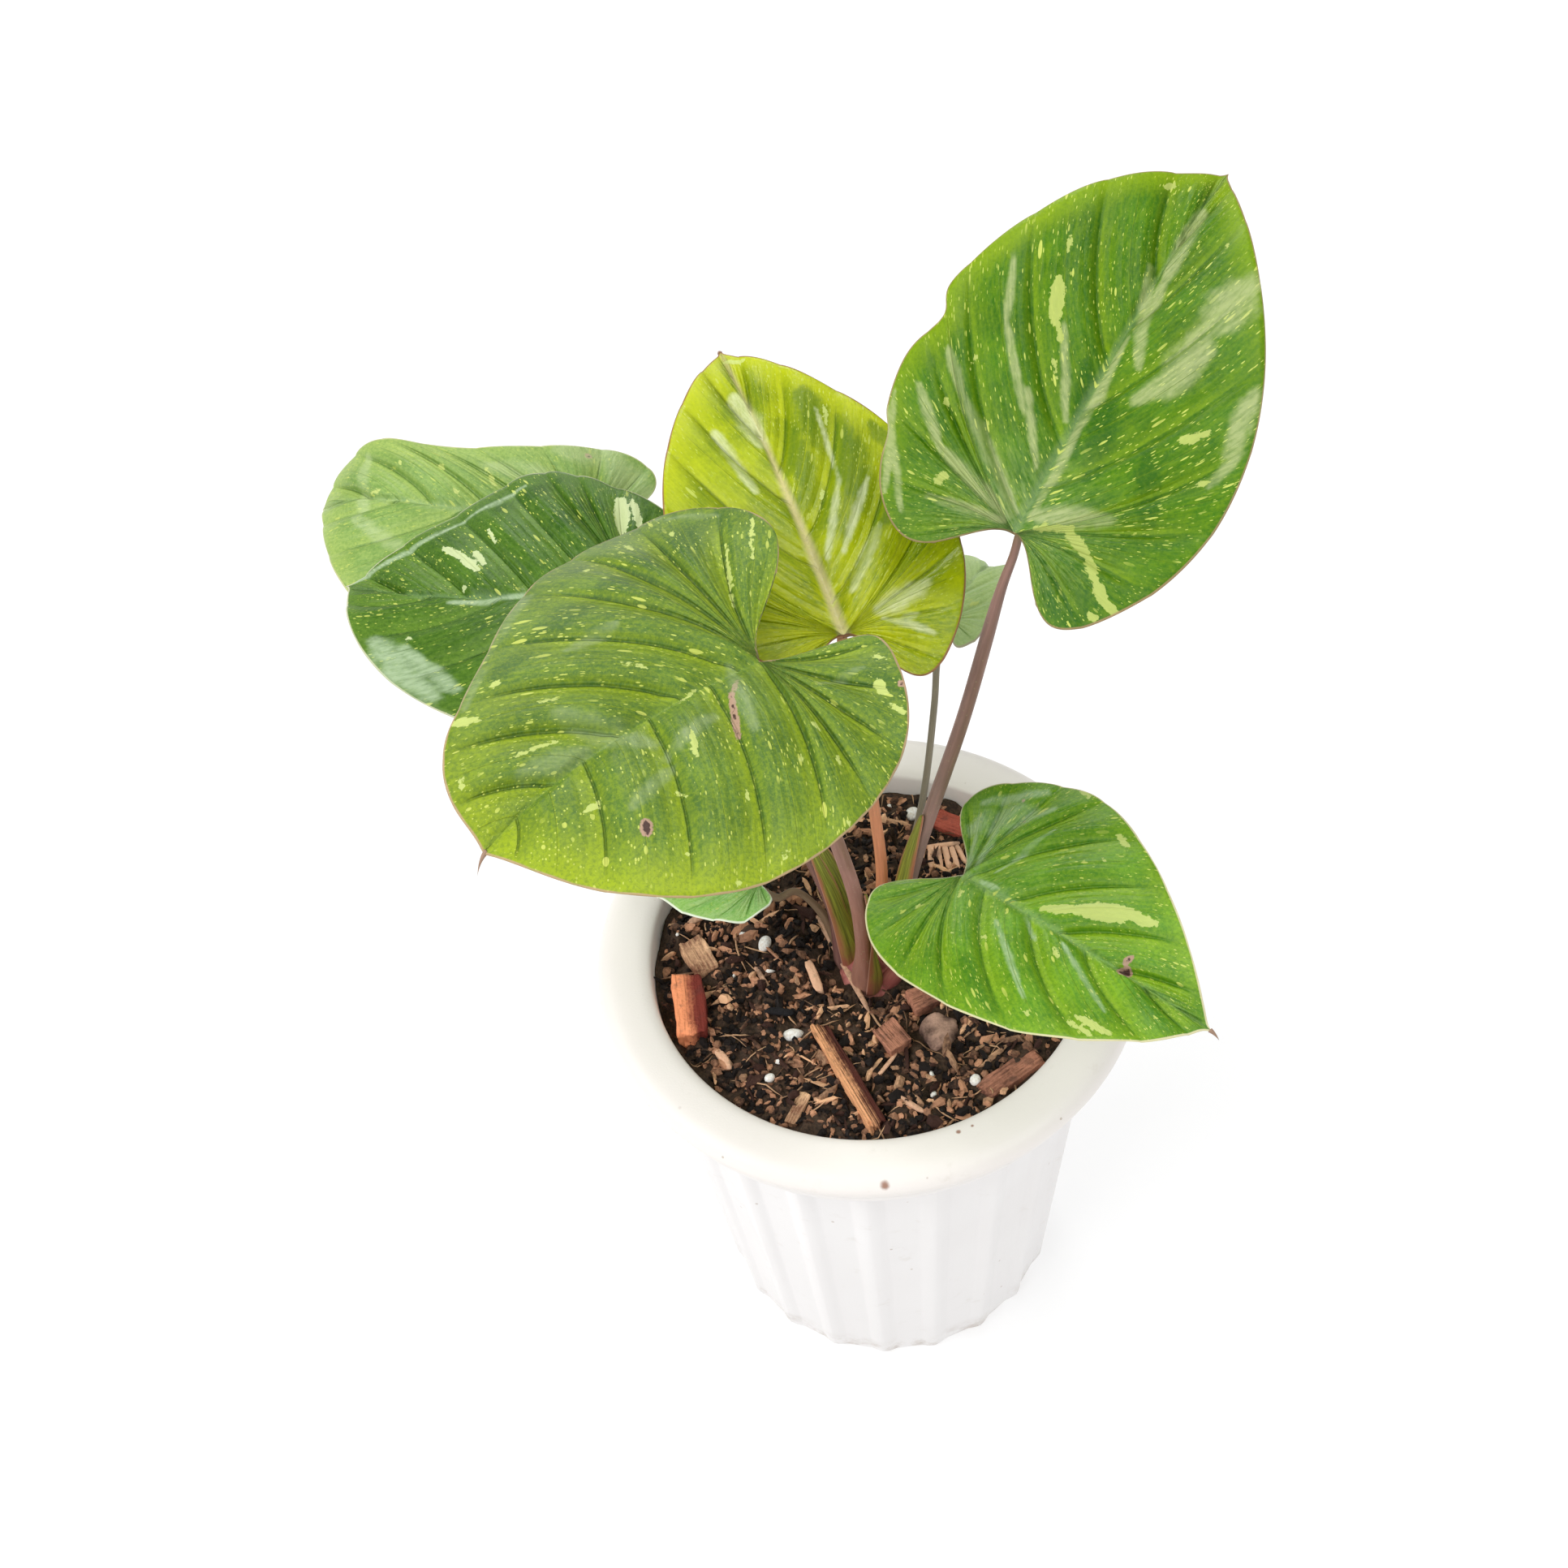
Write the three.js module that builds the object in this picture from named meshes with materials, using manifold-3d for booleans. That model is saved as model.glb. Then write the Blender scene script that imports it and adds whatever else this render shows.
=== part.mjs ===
// A potted variegated homalomena: heart-shaped blades on long stalks, rising from one
// crown in a ribbed white plastic pot filled with a coarse bark and coir mix.
// Millimetres, +Z up, origin at the middle of the pot's base; -Y is the front.
import * as THREE from 'three';
import { ParametricGeometry } from 'three/addons/geometries/ParametricGeometry.js';
import { mergeGeometries, mergeVertices } from 'three/addons/utils/BufferGeometryUtils.js';
import Module from 'manifold-3d';

const wasm = await Module();
wasm.setup();

// Driving dimensions

const GAP = 0.3; // clearance between neighbouring pieces
const SEAT_GAP = 0.4; // the same, measured at the corners of a faceted seat

const POT_HEIGHT = 197;
const POT_RIM_RADIUS = 100;
const POT_MOUTH_RADIUS = 80;
const POT_LIP_DEPTH = 2.2; // how far the mouth's edge lies below the top of the rim
const POT_TOP_RADIUS = 83.7; // the tapered wall, just under the rolled rim
const POT_BASE_RADIUS = 64.6;
const POT_WALL = 2.7;
const POT_FLOOR = 3.5;
const POT_RIBS = 20;
const RIB_DEPTH = 2.3;
const RIB_FIRST_ANGLE = 264; // degrees from +X
const RIB_STEP = 360 / POT_RIBS;
const RIB_OFFSETS = [-4, -1.7, 1.7, 4]; // degrees across one half-round rib
const RIB_RISE = [0, 1, 1, 0]; // share of the rib's depth at those angles
const RIB_FOOT = 0.45; // the same at the base, where the ribs are flatter
const DRAIN_HOLES = 6;
const DRAIN_RADIUS = 4;
const DRAIN_CIRCLE = 42;

const SOIL_LEVEL = 187;
const SOIL_RELIEF = 1.1;
const SOIL_RINGS = [74, 63, 52, 41, 30, 19];

const CROWN_AT = [1, -1.2];
const CROWN_COLUMNS = 20;
const CROWN_PROFILE = [[12, 168], [15.6, 176], [15.4, 184], [13, 189.5], [7.5, 192]];
const CROWN_WIDEST = 176; // height of the crown's widest ring
const CROWN_TOP = 192.6;

const BLADE_THICKNESS = 1.0;
const MIDRIB_SHARE = 0.015; // how far the midrib stands out below a blade, as a share of its length
const MIDRIB_GROOVE = 0.4; // how far it is sunk into the upper face
const QUILTING = 0.55; // rise and fall of the blade between its side veins
const LOBE_RISE = -0.115; // degrees that the lobes turn up for each millimetre behind the stalk
const TIP_SPIKE = 2; // the drawn-out point
const TIP_SPIKE_WIDTH = 0.12; // radians of the outline that it takes up
const VEIN_START = 100; // degrees round the outline past which veins start at the stalk
const VEIN_CROWDING = 1.15; // above 1, the veins crowd towards the tip
const VEIN_ARCH = [0.35, 0.62]; // a vein's bend: share of its run forwards and of its reach out
const LOBE_ARCH = [0.55, 0.52]; // the same in the lobes
const NOTCH_SCALE = 0.6; // makes a one-sided notch as deep as its own depth says
const MIDRIB_STEPS = 24;
const COLUMNS = [0, 0.05, 0.28, 0.55, 0.8, 1]; // from the midrib to the margin
const STALK_STEPS = 12;
const STALK_SIDES = 8;
const STALK_UNDER = [4, 9]; // how far behind and below the joint a stalk comes up to its blade
const SHEATH_THICKNESS = 1.0;
const SHEATH_TIP = 0.12; // share of its width left at the free tip
const SHEATH_COLUMNS = 4;
const SHEATH_ROWS = 8;

// Each leaf: where its blade joins the stalk, how it is turned and bent (degrees, and the
// first of two values is for the half on the left of the midrib), its flat outline, and its
// stalk's base and way up. heading 0 is +X and 90 is +Y.
const LEAVES = {
  tall_right: {
    rows: 18, at: [57.5, 28.5, 381.5], heading: 51, pitch: 28, roll: 2, droop: 15, hook: 19,
    sweep: 5, twist: 4, fold: 13, curl: [17, 18], length: 147, halfWidth: [70, 59],
    lobe: [29, 34], egg: [0.09, 0.27], full: [0.02, -0.1], shift: [3, -1], sinus: 17, taper: 49,
    notches: [[{ at: 92, depth: 5.5, width: 9 }, { at: 128, depth: 3, width: 9 }], []],
    stalk: [[8, 2, 172], [9.5, 3, 186], [18, 9, 230], [39, 18, 304], [53, 25, 360]],
    stalkRadius: [3.1, 2.3], sheath: { from: 188, to: 258, halfAngle: 72 },
    green: 0x3f7a25, stem: 0x6d4f48,
  },
  young_middle: {
    rows: 18, at: [0.5, 17, 352], heading: 105, pitch: 13, roll: 3, droop: 12, hook: 7,
    sweep: 1, twist: -1, fold: 12, curl: [14, 14], length: 128, halfWidth: [50, 51],
    lobe: [15, 31], egg: [0.18, 0.14], full: [0, -0.07], shift: [-1, 0], sinus: 14, taper: 49,
    stalk: [[3, 9.5, 172], [3.5, 9.8, 186], [7, 11, 225], [6, 13, 263], [3.5, 14.5, 310]],
    stalkRadius: [2.3, 1.8],
    green: 0x9aa01c, stem: 0xa2614c,
  },
  broad_front: {
    rows: 18, at: [-26, -20.5, 387], heading: 216, pitch: 14, roll: 1, droop: 11, hook: 19,
    sweep: 9, twist: -5, fold: 18, curl: [38, 50], length: 110, halfWidth: [78, 84], lobeRise: 0.8,
    lobe: [36, 44], egg: [-0.1, 0.62], full: [0.06, 0.25], shift: [-6, 14], sinus: 9, taper: 9,
    stalk: [[-2, -8.5, 172], [-2, -8.7, 186], [-2.5, -11, 238], [-9, -14.5, 290], [-17, -17.5, 345]],
    stalkRadius: [2.9, 2.3], sheath: { from: 188, to: 244, halfAngle: 68 },
    green: 0x5a8a2c, stem: 0x75545a,
  },
  low_right: {
    rows: 18, at: [34.5, -17, 260.5], heading: -51, pitch: 15, roll: 3, droop: 22, hook: 1,
    sweep: 10, twist: 3, fold: 14, curl: [15, 15], length: 106, halfWidth: [50, 55],
    lobe: [29, 24], egg: [0.28, 0.12], full: [-0.06, 0.03], shift: [-2, 0], sinus: 15, taper: 48,
    stalk: [[5, -8, 172], [6, -8.5, 184], [11, -11, 198], [21, -15, 224]],
    stalkRadius: [2.1, 1.6],
    green: 0x3c8220, stem: 0x8b5450,
  },
  left: {
    rows: 18, at: [-69, 60, 335], heading: 189, pitch: 6, roll: 0, droop: 28, hook: -3,
    sweep: -48, twist: -6, fold: 10, curl: [28, 28], length: 110, halfWidth: [59, 62],
    lobe: [31, 32], egg: [0.24, 0.08], full: [-0.07, -0.16], shift: [1, 6], sinus: 15, taper: 50,
    stalk: [[-8, 1.5, 172], [-8.2, 2, 185], [-12, 9, 212], [-24, 21, 248], [-47, 41, 296]],
    stalkRadius: [2.5, 2], sheath: { from: 188, to: 240, halfAngle: 66 },
    green: 0x2f6a22, stem: 0x6f5146,
  },
  far_left: {
    rows: 18, at: [-87.5, 116.5, 299], heading: 166, pitch: 15, roll: -8, droop: 34, hook: 30,
    sweep: -11, twist: -9, fold: 11, curl: [29, 25], length: 116, halfWidth: [61, 54],
    lobe: [30, 26], egg: [0.19, 0.15], full: [-0.11, 0.47], shift: [2, 11], sinus: 15, taper: 48,
    stalk: [[-4, 8.5, 172], [-4.5, 9.5, 185], [-10, 20, 211], [-30, 48, 245], [-60, 84, 280]],
    stalkRadius: [2.5, 2], sheath: { from: 189, to: 228, halfAngle: 62 },
    green: 0x6d9a45, stem: 0x6f5146,
  },
  small_behind: {
    rows: 12, at: [36, 65.5, 298.5], heading: 68, pitch: -20, roll: 1, droop: 14, hook: 30,
    sweep: -1, twist: 0, fold: 13, curl: [9, 6], length: 72, halfWidth: [32, 20],
    lobe: [22, 22], egg: [0.19, 0.23], full: [0, 0.09], shift: [0, -5], sinus: 15, taper: 50,
    stalk: [[9, 8.5, 172], [10, 9.8, 184], [14, 18, 206], [24, 35, 236], [30.5, 52, 268]],
    stalkRadius: [1.4, 1.2],
    green: 0x5f9960, stem: 0x66684e,
  },
  small_low: {
    rows: 12, at: [-36.5, 15, 222], heading: 165, pitch: -10, roll: 6, droop: 8, hook: 11,
    sweep: -1, twist: 0, fold: 14, curl: [8, 8], length: 46, halfWidth: [27, 28],
    lobe: [10, 15], egg: [0.22, 0.18], full: [0.01, 0], shift: [-4, 0], sinus: 15, taper: 50,
    stalk: [[-9.5, 6.3, 172], [-9.8, 6.5, 184], [-12, 8.5, 194], [-17, 12.5, 205], [-25, 15.5, 213]],
    stalkRadius: [1.5, 1.2],
    green: 0x4f9a49, stem: 0x6f5f4a,
  },
};

// What lies on the soil: middle, direction in degrees, and length, width and height.
const CHIPS = {
  bark_red: { at: [-66.5, -16], turn: -87, size: [25, 11, 9], seed: 3, color: 0x8a4027 },
  bark_tan: { at: [-63, 7], turn: -66, size: [16, 9, 6], seed: 5, color: 0x9a6a35 },
  bark_split: { at: [-11, -50], turn: -67, size: [45, 6.5, 5], seed: 12, color: 0x7d4a26 },
  bark_middle: { at: [20, -19.5], turn: 22, size: [13, 9, 6], seed: 9, color: 0x7a3b2a },
  bark_front: { at: [6, -35], turn: -58, size: [11, 9, 6.5], seed: 11, color: 0x6b3a2c },
  bark_rim: { at: [46, -54], turn: 34, size: [25, 8, 4.5], seed: 13, color: 0x5f3b28 },
  bark_back: { at: [36, 59], turn: -31, size: [16, 8, 4], seed: 15, color: 0x8f3a2c },
  bark_pale: { at: [-30, -61.5], turn: 63, size: [13, 4.5, 3.5], seed: 17, color: 0xa47a48 },
};
const STONES = {
  clod: { at: [23, -34], turn: 10, size: [16, 13, 10], seed: 21, color: 0x4d3a35 },
  perlite_left: { at: [-38, 11], turn: 70, size: [6.5, 5, 5], seed: 23, color: 0xeae6de },
  perlite_middle: { at: [-30, -29], turn: 5, size: [7.5, 4.5, 4.5], seed: 25, color: 0xeae6de },
  perlite_front: { at: [-39, -48], turn: 30, size: [4, 3.5, 3.5], seed: 27, color: 0xe2dccf },
  perlite_right: { at: [34, -55], turn: 80, size: [4.5, 4, 4], seed: 29, color: 0xe0dacb },
  perlite_back: { at: [21, 66], turn: 40, size: [5.5, 4.5, 4.5], seed: 31, color: 0xeae6de },
};
const CHIP_SEAT = 0.4; // share of a chip's height that lies in the soil
const CHIP_ROUGHNESS = 0.14; // how far a chip's corners stray, as a share of its size
const STONE_ROUGHNESS = 0.12;
const SHEATH_COLOR = 0x7f8c3a;

const rad = THREE.MathUtils.degToRad;

// Solids

/** Closed geometry to a solid, whichever way round its faces were listed. */
function toSolid(geometry) {
  geometry.deleteAttribute('normal');
  geometry.deleteAttribute('uv');
  const merged = mergeVertices(geometry, 1e-4);
  const all = merged.index.array;
  const keep = [];
  for (let i = 0; i < all.length; i += 3) {
    const [a, b, c] = [all[i], all[i + 1], all[i + 2]];
    if (a !== b && b !== c && a !== c) keep.push(a, b, c);
  }
  const vertProperties = Float32Array.from(merged.attributes.position.array);
  const make = (list) =>
    new wasm.Manifold(new wasm.Mesh({ numProp: 3, vertProperties, triVerts: Uint32Array.from(list) }));
  const solid = make(keep);
  return solid.volume() > 0 ? solid : make(keep.reverse());
}

/** The largest closed body of a solid, without the scraps that a cut leaves. */
function largestBody(solid) {
  return solid.decompose().sort((a, b) => b.volume() - a.volume())[0];
}

/** A named mesh made from a solid. */
function piece(name, solid, color, roughness = 0.6) {
  const { vertProperties, triVerts } = solid.getMesh();
  const geometry = new THREE.BufferGeometry();
  geometry.setAttribute('position', new THREE.BufferAttribute(vertProperties, 3));
  geometry.setIndex(new THREE.BufferAttribute(triVerts, 1));
  geometry.computeVertexNormals();
  const mesh = new THREE.Mesh(geometry, new THREE.MeshStandardMaterial({ color, roughness, metalness: 0 }));
  mesh.name = name;
  return mesh;
}

/** A closed sheet: face(u, v, side, target) gives its upper (side 1) and lower (-1) face. */
function closedSheet(face, columns, rows) {
  const upper = new ParametricGeometry((u, v, p) => face(u, v, 1, p), columns, rows);
  const lower = new ParametricGeometry((u, v, p) => face(u, v, -1, p), columns, rows);
  const turned = Array.from(lower.index.array).reverse();
  lower.setIndex(turned);
  const walls = [
    new ParametricGeometry((v, q, p) => face(1, v, 2 * q - 1, p), rows, 1),
    new ParametricGeometry((v, q, p) => face(0, v, 1 - 2 * q, p), rows, 1),
    new ParametricGeometry((u, q, p) => face(u, 0, 2 * q - 1, p), columns, 1),
    new ParametricGeometry((u, q, p) => face(u, 1, 1 - 2 * q, p), columns, 1),
  ];
  return toSolid(mergeGeometries([upper, lower, ...walls]));
}

// Pot

/** Angles round the pot, with how far the ribbed wall stands out at each. */
function ribColumns() {
  const columns = [];
  for (let k = 0; k < POT_RIBS; k += 1) {
    RIB_OFFSETS.forEach((offset, i) => {
      columns.push({ angle: rad(RIB_FIRST_ANGLE + k * RIB_STEP + offset), rise: RIB_RISE[i] * RIB_DEPTH });
    });
  }
  return columns;
}

/** A turned solid whose columns stand at chosen angles; heightAt(x, y, z) lifts its points. */
function turnedAt(columns, profile, heightAt) {
  const points = profile.map(([r, z]) => new THREE.Vector2(r, z));
  const geometry = new THREE.LatheGeometry(points, columns.length);
  const position = geometry.attributes.position;
  for (let i = 0; i < position.count; i += 1) {
    const column = columns[Math.floor(i / profile.length) % columns.length];
    const [r, z, ribShare = 0] = profile[i % profile.length];
    const reach = r + ribShare * column.rise;
    const [x, y] = [reach * Math.cos(column.angle), reach * Math.sin(column.angle)];
    position.setXYZ(i, x, y, heightAt(x, y, z));
  }
  return toSolid(geometry);
}

/** Rolled rim, hollow skirt, ribbed taper and floor, as one turned wall. */
function potSolid() {
  const rim = POT_RIM_RADIUS;
  const top = POT_HEIGHT;
  const profile = [
    [0, 0], [POT_BASE_RADIUS - 1.6, 0], [POT_BASE_RADIUS, 2, RIB_FOOT], [POT_TOP_RADIUS, top - 11, 1],
    [rim - 12, top - 4.6], [rim - 7.5, top - 3.4], [rim - 4, top - 7], [rim - 6.5, top - 18.5],
    [rim - 4.2, top - 18.5], [rim - 3.8, top - 16.5], [rim - 4.6, top - 14.6], [rim - 1.2, top - 11],
    [rim, top - 7], [rim - 1, top - 3.8], [rim - 3.6, top - 1.2], [rim - 7, top],
    [rim - 13, top - 0.3], [rim - 17.5, top - 0.8], [POT_MOUTH_RADIUS, top - POT_LIP_DEPTH],
    [POT_BASE_RADIUS - POT_WALL + 0.3, POT_FLOOR], [0, POT_FLOOR],
  ];
  let pot = turnedAt(ribColumns(), profile, (x, y, z) => z);
  for (let k = 0; k < DRAIN_HOLES; k += 1) {
    const angle = (2 * Math.PI * k) / DRAIN_HOLES;
    const hole = new THREE.CylinderGeometry(DRAIN_RADIUS, DRAIN_RADIUS, 4 * POT_FLOOR, 10);
    hole.rotateX(Math.PI / 2);
    hole.translate(DRAIN_CIRCLE * Math.cos(angle), DRAIN_CIRCLE * Math.sin(angle), POT_FLOOR / 2);
    pot = pot.subtract(toSolid(hole));
  }
  return pot;
}

// Soil and what lies on it

/** Height of the lumpy soil surface. */
function soilHeight(x, y) {
  const lumps = Math.sin(0.21 * x + 0.6) * Math.cos(0.19 * y - 0.4) + 0.6 * Math.sin(0.43 * x - 0.37 * y);
  return SOIL_LEVEL + SOIL_RELIEF * lumps;
}

function soilSolid() {
  const wallRadius = (z) => {
    const share = (z - POT_FLOOR) / (POT_HEIGHT - POT_LIP_DEPTH - POT_FLOOR);
    const low = POT_BASE_RADIUS - POT_WALL + 0.3;
    return low + share * (POT_MOUTH_RADIUS - low) - GAP;
  };
  const bottom = POT_FLOOR + GAP;
  const edge = SOIL_LEVEL - 2.5;
  const profile = [[0, bottom], [wallRadius(bottom), bottom], [wallRadius(edge), edge]];
  SOIL_RINGS.forEach((r) => profile.push([r, SOIL_LEVEL]));
  profile.push([0, SOIL_LEVEL]);
  const columns = ribColumns().filter((column) => column.rise === 0);
  return turnedAt(columns, profile, (x, y, z) => (z < SOIL_LEVEL ? z : soilHeight(x, y)));
}

/** Repeatable value from -1 to 1 for a chip's corner. */
function jitter(seed, x, y, z) {
  const s = Math.sin(seed * 12.9898 + x * 78.233 + y * 37.719 + z * 11.137) * 43758.5453;
  return 2 * (s - Math.floor(s)) - 1;
}

/** Seats a unit-sized geometry on the soil, scaled to the chip's size plus a margin. */
function seat(geometry, { at, turn, size, seed }, roughness, margin) {
  const position = geometry.attributes.position;
  for (let i = 0; i < position.count; i += 1) {
    const [x, y, z] = [position.getX(i), position.getY(i), position.getZ(i)];
    const key = [x, y, z].map((value) => Math.round(value * 50));
    position.setX(i, x * (1 + roughness * jitter(seed, key[0], key[1], key[2])));
    position.setY(i, y * (1 + roughness * jitter(seed + 1, key[1], key[2], key[0])));
    position.setZ(i, z * (1 + roughness * jitter(seed + 2, key[2], key[0], key[1])));
  }
  geometry.scale(size[0] + 2 * margin, size[1] + 2 * margin, size[2] + 2 * margin);
  geometry.rotateZ(rad(turn));
  geometry.translate(at[0], at[1], soilHeight(at[0], at[1]) + size[2] * (0.5 - CHIP_SEAT));
  return toSolid(geometry);
}

function chipSolid(chip, margin = 0) {
  return seat(new THREE.BoxGeometry(1, 1, 1, 3, 2, 1), chip, CHIP_ROUGHNESS, margin);
}

function stoneSolid(stone, margin = 0) {
  return seat(new THREE.DodecahedronGeometry(0.5), stone, STONE_ROUGHNESS, margin);
}

/** The crown that the stalks grow from, a low dome. */
function crownSolid(extra = 0) {
  const side = CROWN_PROFILE.map(([r, z]) => [r + extra, z + extra * Math.sign(z - CROWN_WIDEST)]);
  const profile = [[0, side[0][1]], ...side, [0, CROWN_TOP + extra]];
  const points = profile.map(([r, z]) => new THREE.Vector2(r, z));
  const geometry = new THREE.LatheGeometry(points, CROWN_COLUMNS);
  geometry.rotateX(Math.PI / 2);
  geometry.translate(CROWN_AT[0], CROWN_AT[1], 0);
  return toSolid(geometry);
}

// Leaves

/** The leaf's own directions: along the midrib, to its left, and up from its face. */
function leafFrame({ heading, pitch, roll }) {
  const [h, p, r] = [rad(heading), rad(pitch), rad(roll)];
  const along = new THREE.Vector3(Math.cos(p) * Math.cos(h), Math.cos(p) * Math.sin(h), Math.sin(p));
  const level = new THREE.Vector3(-Math.sin(h), Math.cos(h), 0);
  const upright = new THREE.Vector3().crossVectors(along, level);
  const left = level.multiplyScalar(Math.cos(r)).addScaledVector(upright, Math.sin(r));
  return { along, left, up: new THREE.Vector3().crossVectors(along, left) };
}

/** Flat outline of one half (k 0 is left), from the tip at angle 0 to the stalk at PI. */
function margin(leaf, angle, k) {
  const [half, lobe] = [leaf.halfWidth[k], leaf.lobe[k]];
  const sinus = lobe * Math.exp(-(((Math.PI - angle) / rad(leaf.sinus)) ** 2));
  const spike = TIP_SPIKE * Math.exp(-((angle / TIP_SPIKE_WIDTH) ** 2));
  const u = (leaf.length - lobe) / 2 + ((leaf.length + lobe) / 2) * Math.cos(angle) + sinus + spike;
  const shape = 1 - leaf.egg[k] * Math.cos(angle) + leaf.full[k] * Math.cos(2 * angle);
  const taper = angle / rad(leaf.taper);
  let v = (half * Math.sin(angle) * shape * taper) / Math.sqrt(1 + taper * taper);
  for (const { at, depth, width } of leaf.notches?.[k] ?? []) {
    const past = (angle - rad(at)) / rad(width);
    v -= depth * Math.exp(-past * past) * (1 + Math.tanh(3 * past)) * NOTCH_SCALE;
  }
  return [u + leaf.shift[k] * Math.sin(angle) ** 2, v];
}

/** Point of the flat blade on the vein that ends at an outline angle, s 0 midrib to 1 margin. */
function veinPoint(leaf, angle, s, k) {
  const start = rad(VEIN_START);
  const last = Math.PI - rad(leaf.sinus);
  const root = angle < start ? (leaf.length + TIP_SPIKE) * (1 - angle / start) ** VEIN_CROWDING : 0;
  if (s === 0) return [root, 0];
  const end = margin(leaf, angle, k);
  const back = THREE.MathUtils.clamp((angle - start) / (last - start), 0, 1);
  const turn = back * back * (3 - 2 * back);
  const arch = [0, 1].map((i) => THREE.MathUtils.lerp(VEIN_ARCH[i], LOBE_ARCH[i], back));
  const control = [root + arch[0] * (end[0] - root), arch[1] * end[1]];
  const [a, b, c] = [(1 - s) ** 2, 2 * s * (1 - s), s * s];
  const vein = [a * root + b * control[0] + c * end[0], b * control[1] + c * end[1]];
  const lastEnd = margin(leaf, last, k);
  const rim = margin(leaf, Math.PI - s * (Math.PI - last), k);
  return [0, 1].map((i) => (1 - turn) * vein[i] + turn * (rim[i] + s * (end[i] - lastEnd[i])));
}

/** Bends the flat blade: u along the midrib, v out from it, side 1 left or -1 right. */
function bend(leaf, frame, u, v, side) {
  const k = side > 0 ? 0 : 1;
  const fall = (w) => {
    if (w < 0) return -rad(leaf.lobeRise ?? LOBE_RISE) * w;
    return rad(leaf.droop) * (w / leaf.length) + rad(leaf.hook) * Math.min(w / leaf.length, 2) ** 4;
  };
  const swing = (w) => (w > 0 ? rad(leaf.sweep) * (w / leaf.length) : 0);
  const step = u / MIDRIB_STEPS;
  const mid = [0, 0, 0];
  for (let i = 0; i < MIDRIB_STEPS; i += 1) {
    const w = (i + 0.5) * step;
    mid[0] += Math.cos(fall(w)) * Math.cos(swing(w)) * step;
    mid[1] += Math.cos(fall(w)) * Math.sin(swing(w)) * step;
    mid[2] -= Math.sin(fall(w)) * step;
  }
  const [a, b] = [fall(u), swing(u)];
  const curve = rad(leaf.curl[k]) / leaf.halfWidth[k];
  const fold = rad(leaf.fold);
  const out = (side * (Math.sin(fold) - Math.sin(fold - curve * v))) / curve;
  const rise = (Math.cos(fold - curve * v) - Math.cos(fold)) / curve;
  const turn = (rad(leaf.twist) * u) / leaf.length;
  const across = out * Math.cos(turn) - rise * Math.sin(turn);
  const above = out * Math.sin(turn) + rise * Math.cos(turn);
  return new THREE.Vector3(...leaf.at)
    .addScaledVector(frame.along, mid[0] - across * Math.sin(b) + above * Math.sin(a) * Math.cos(b))
    .addScaledVector(frame.left, mid[1] + across * Math.cos(b) + above * Math.sin(a) * Math.sin(b))
    .addScaledVector(frame.up, mid[2] + above * Math.cos(a));
}

/** Upward normal of one half of the bent blade. */
function halfNormal(leaf, frame, u, v, side) {
  const step = 0.5;
  const here = bend(leaf, frame, u, v, side);
  const ahead = bend(leaf, frame, u + step, v, side).sub(here);
  const outward = bend(leaf, frame, u, v + step, side).sub(here);
  return new THREE.Vector3().crossVectors(ahead, outward).multiplyScalar(side).normalize();
}

/** Upward normal on the midrib, shared by both halves. */
function midribNormal(leaf, frame, u) {
  const normal = halfNormal(leaf, frame, u, 0, 1);
  return normal.add(halfNormal(leaf, frame, u, 0, -1)).normalize();
}

/** The blade as one closed sheet, quilted between its veins, with its midrib below. */
function bladeSolid(leaf, extra = 0) {
  const frame = leafFrame(leaf);
  const bands = COLUMNS.length - 1;
  const last = Math.PI - rad(leaf.sinus);
  const face = (across, down, layer, target) => {
    const side = across >= 0.5 ? 1 : -1;
    const column = Math.round(Math.abs(2 * across - 1) * bands);
    const s = down === 0 ? 0 : COLUMNS[column];
    const [u, v] = veinPoint(leaf, down * last, s, side > 0 ? 0 : 1);
    const normal = s === 0 ? midribNormal(leaf, frame, u) : halfNormal(leaf, frame, u, v, side);
    const quilt = QUILTING * Math.cos(Math.PI * leaf.rows * down) * Math.sin(Math.PI * s) * (1 - down ** 4);
    let height = quilt + layer * (BLADE_THICKNESS / 2 + extra);
    if (s === 0) {
      const along = 1 - u / (leaf.length + TIP_SPIKE);
      height -= along * (layer > 0 ? MIDRIB_GROOVE : MIDRIB_SHARE * leaf.length);
    }
    target.copy(bend(leaf, frame, u, v, side)).addScaledVector(normal, height);
  };
  return closedSheet(face, 2 * bands, leaf.rows);
}

/** The room a blade needs round its base: grown up, down, backwards and to both sides. */
function bladeRoom(leaf) {
  const { along, left } = leafFrame(leaf);
  const grown = bladeSolid(leaf, SEAT_GAP);
  const moved = [-SEAT_GAP, SEAT_GAP].map((reach) => {
    const move = left.clone().multiplyScalar(reach).addScaledVector(along, -SEAT_GAP);
    return grown.translate(move.toArray());
  });
  return grown.add(moved[0]).add(moved[1]);
}

/** Centre line of a stalk, from inside the crown to just under the blade's base. */
function stalkCurve(leaf) {
  const frame = leafFrame(leaf);
  const joint = new THREE.Vector3(...leaf.at);
  const top = joint.clone().addScaledVector(frame.along, STALK_UNDER[0]);
  const below = joint.clone().addScaledVector(frame.along, -STALK_UNDER[0]);
  below.addScaledVector(frame.up, -STALK_UNDER[1]);
  const points = leaf.stalk.map((p) => new THREE.Vector3(...p));
  return new THREE.CatmullRomCurve3([...points, below, top]);
}

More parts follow.
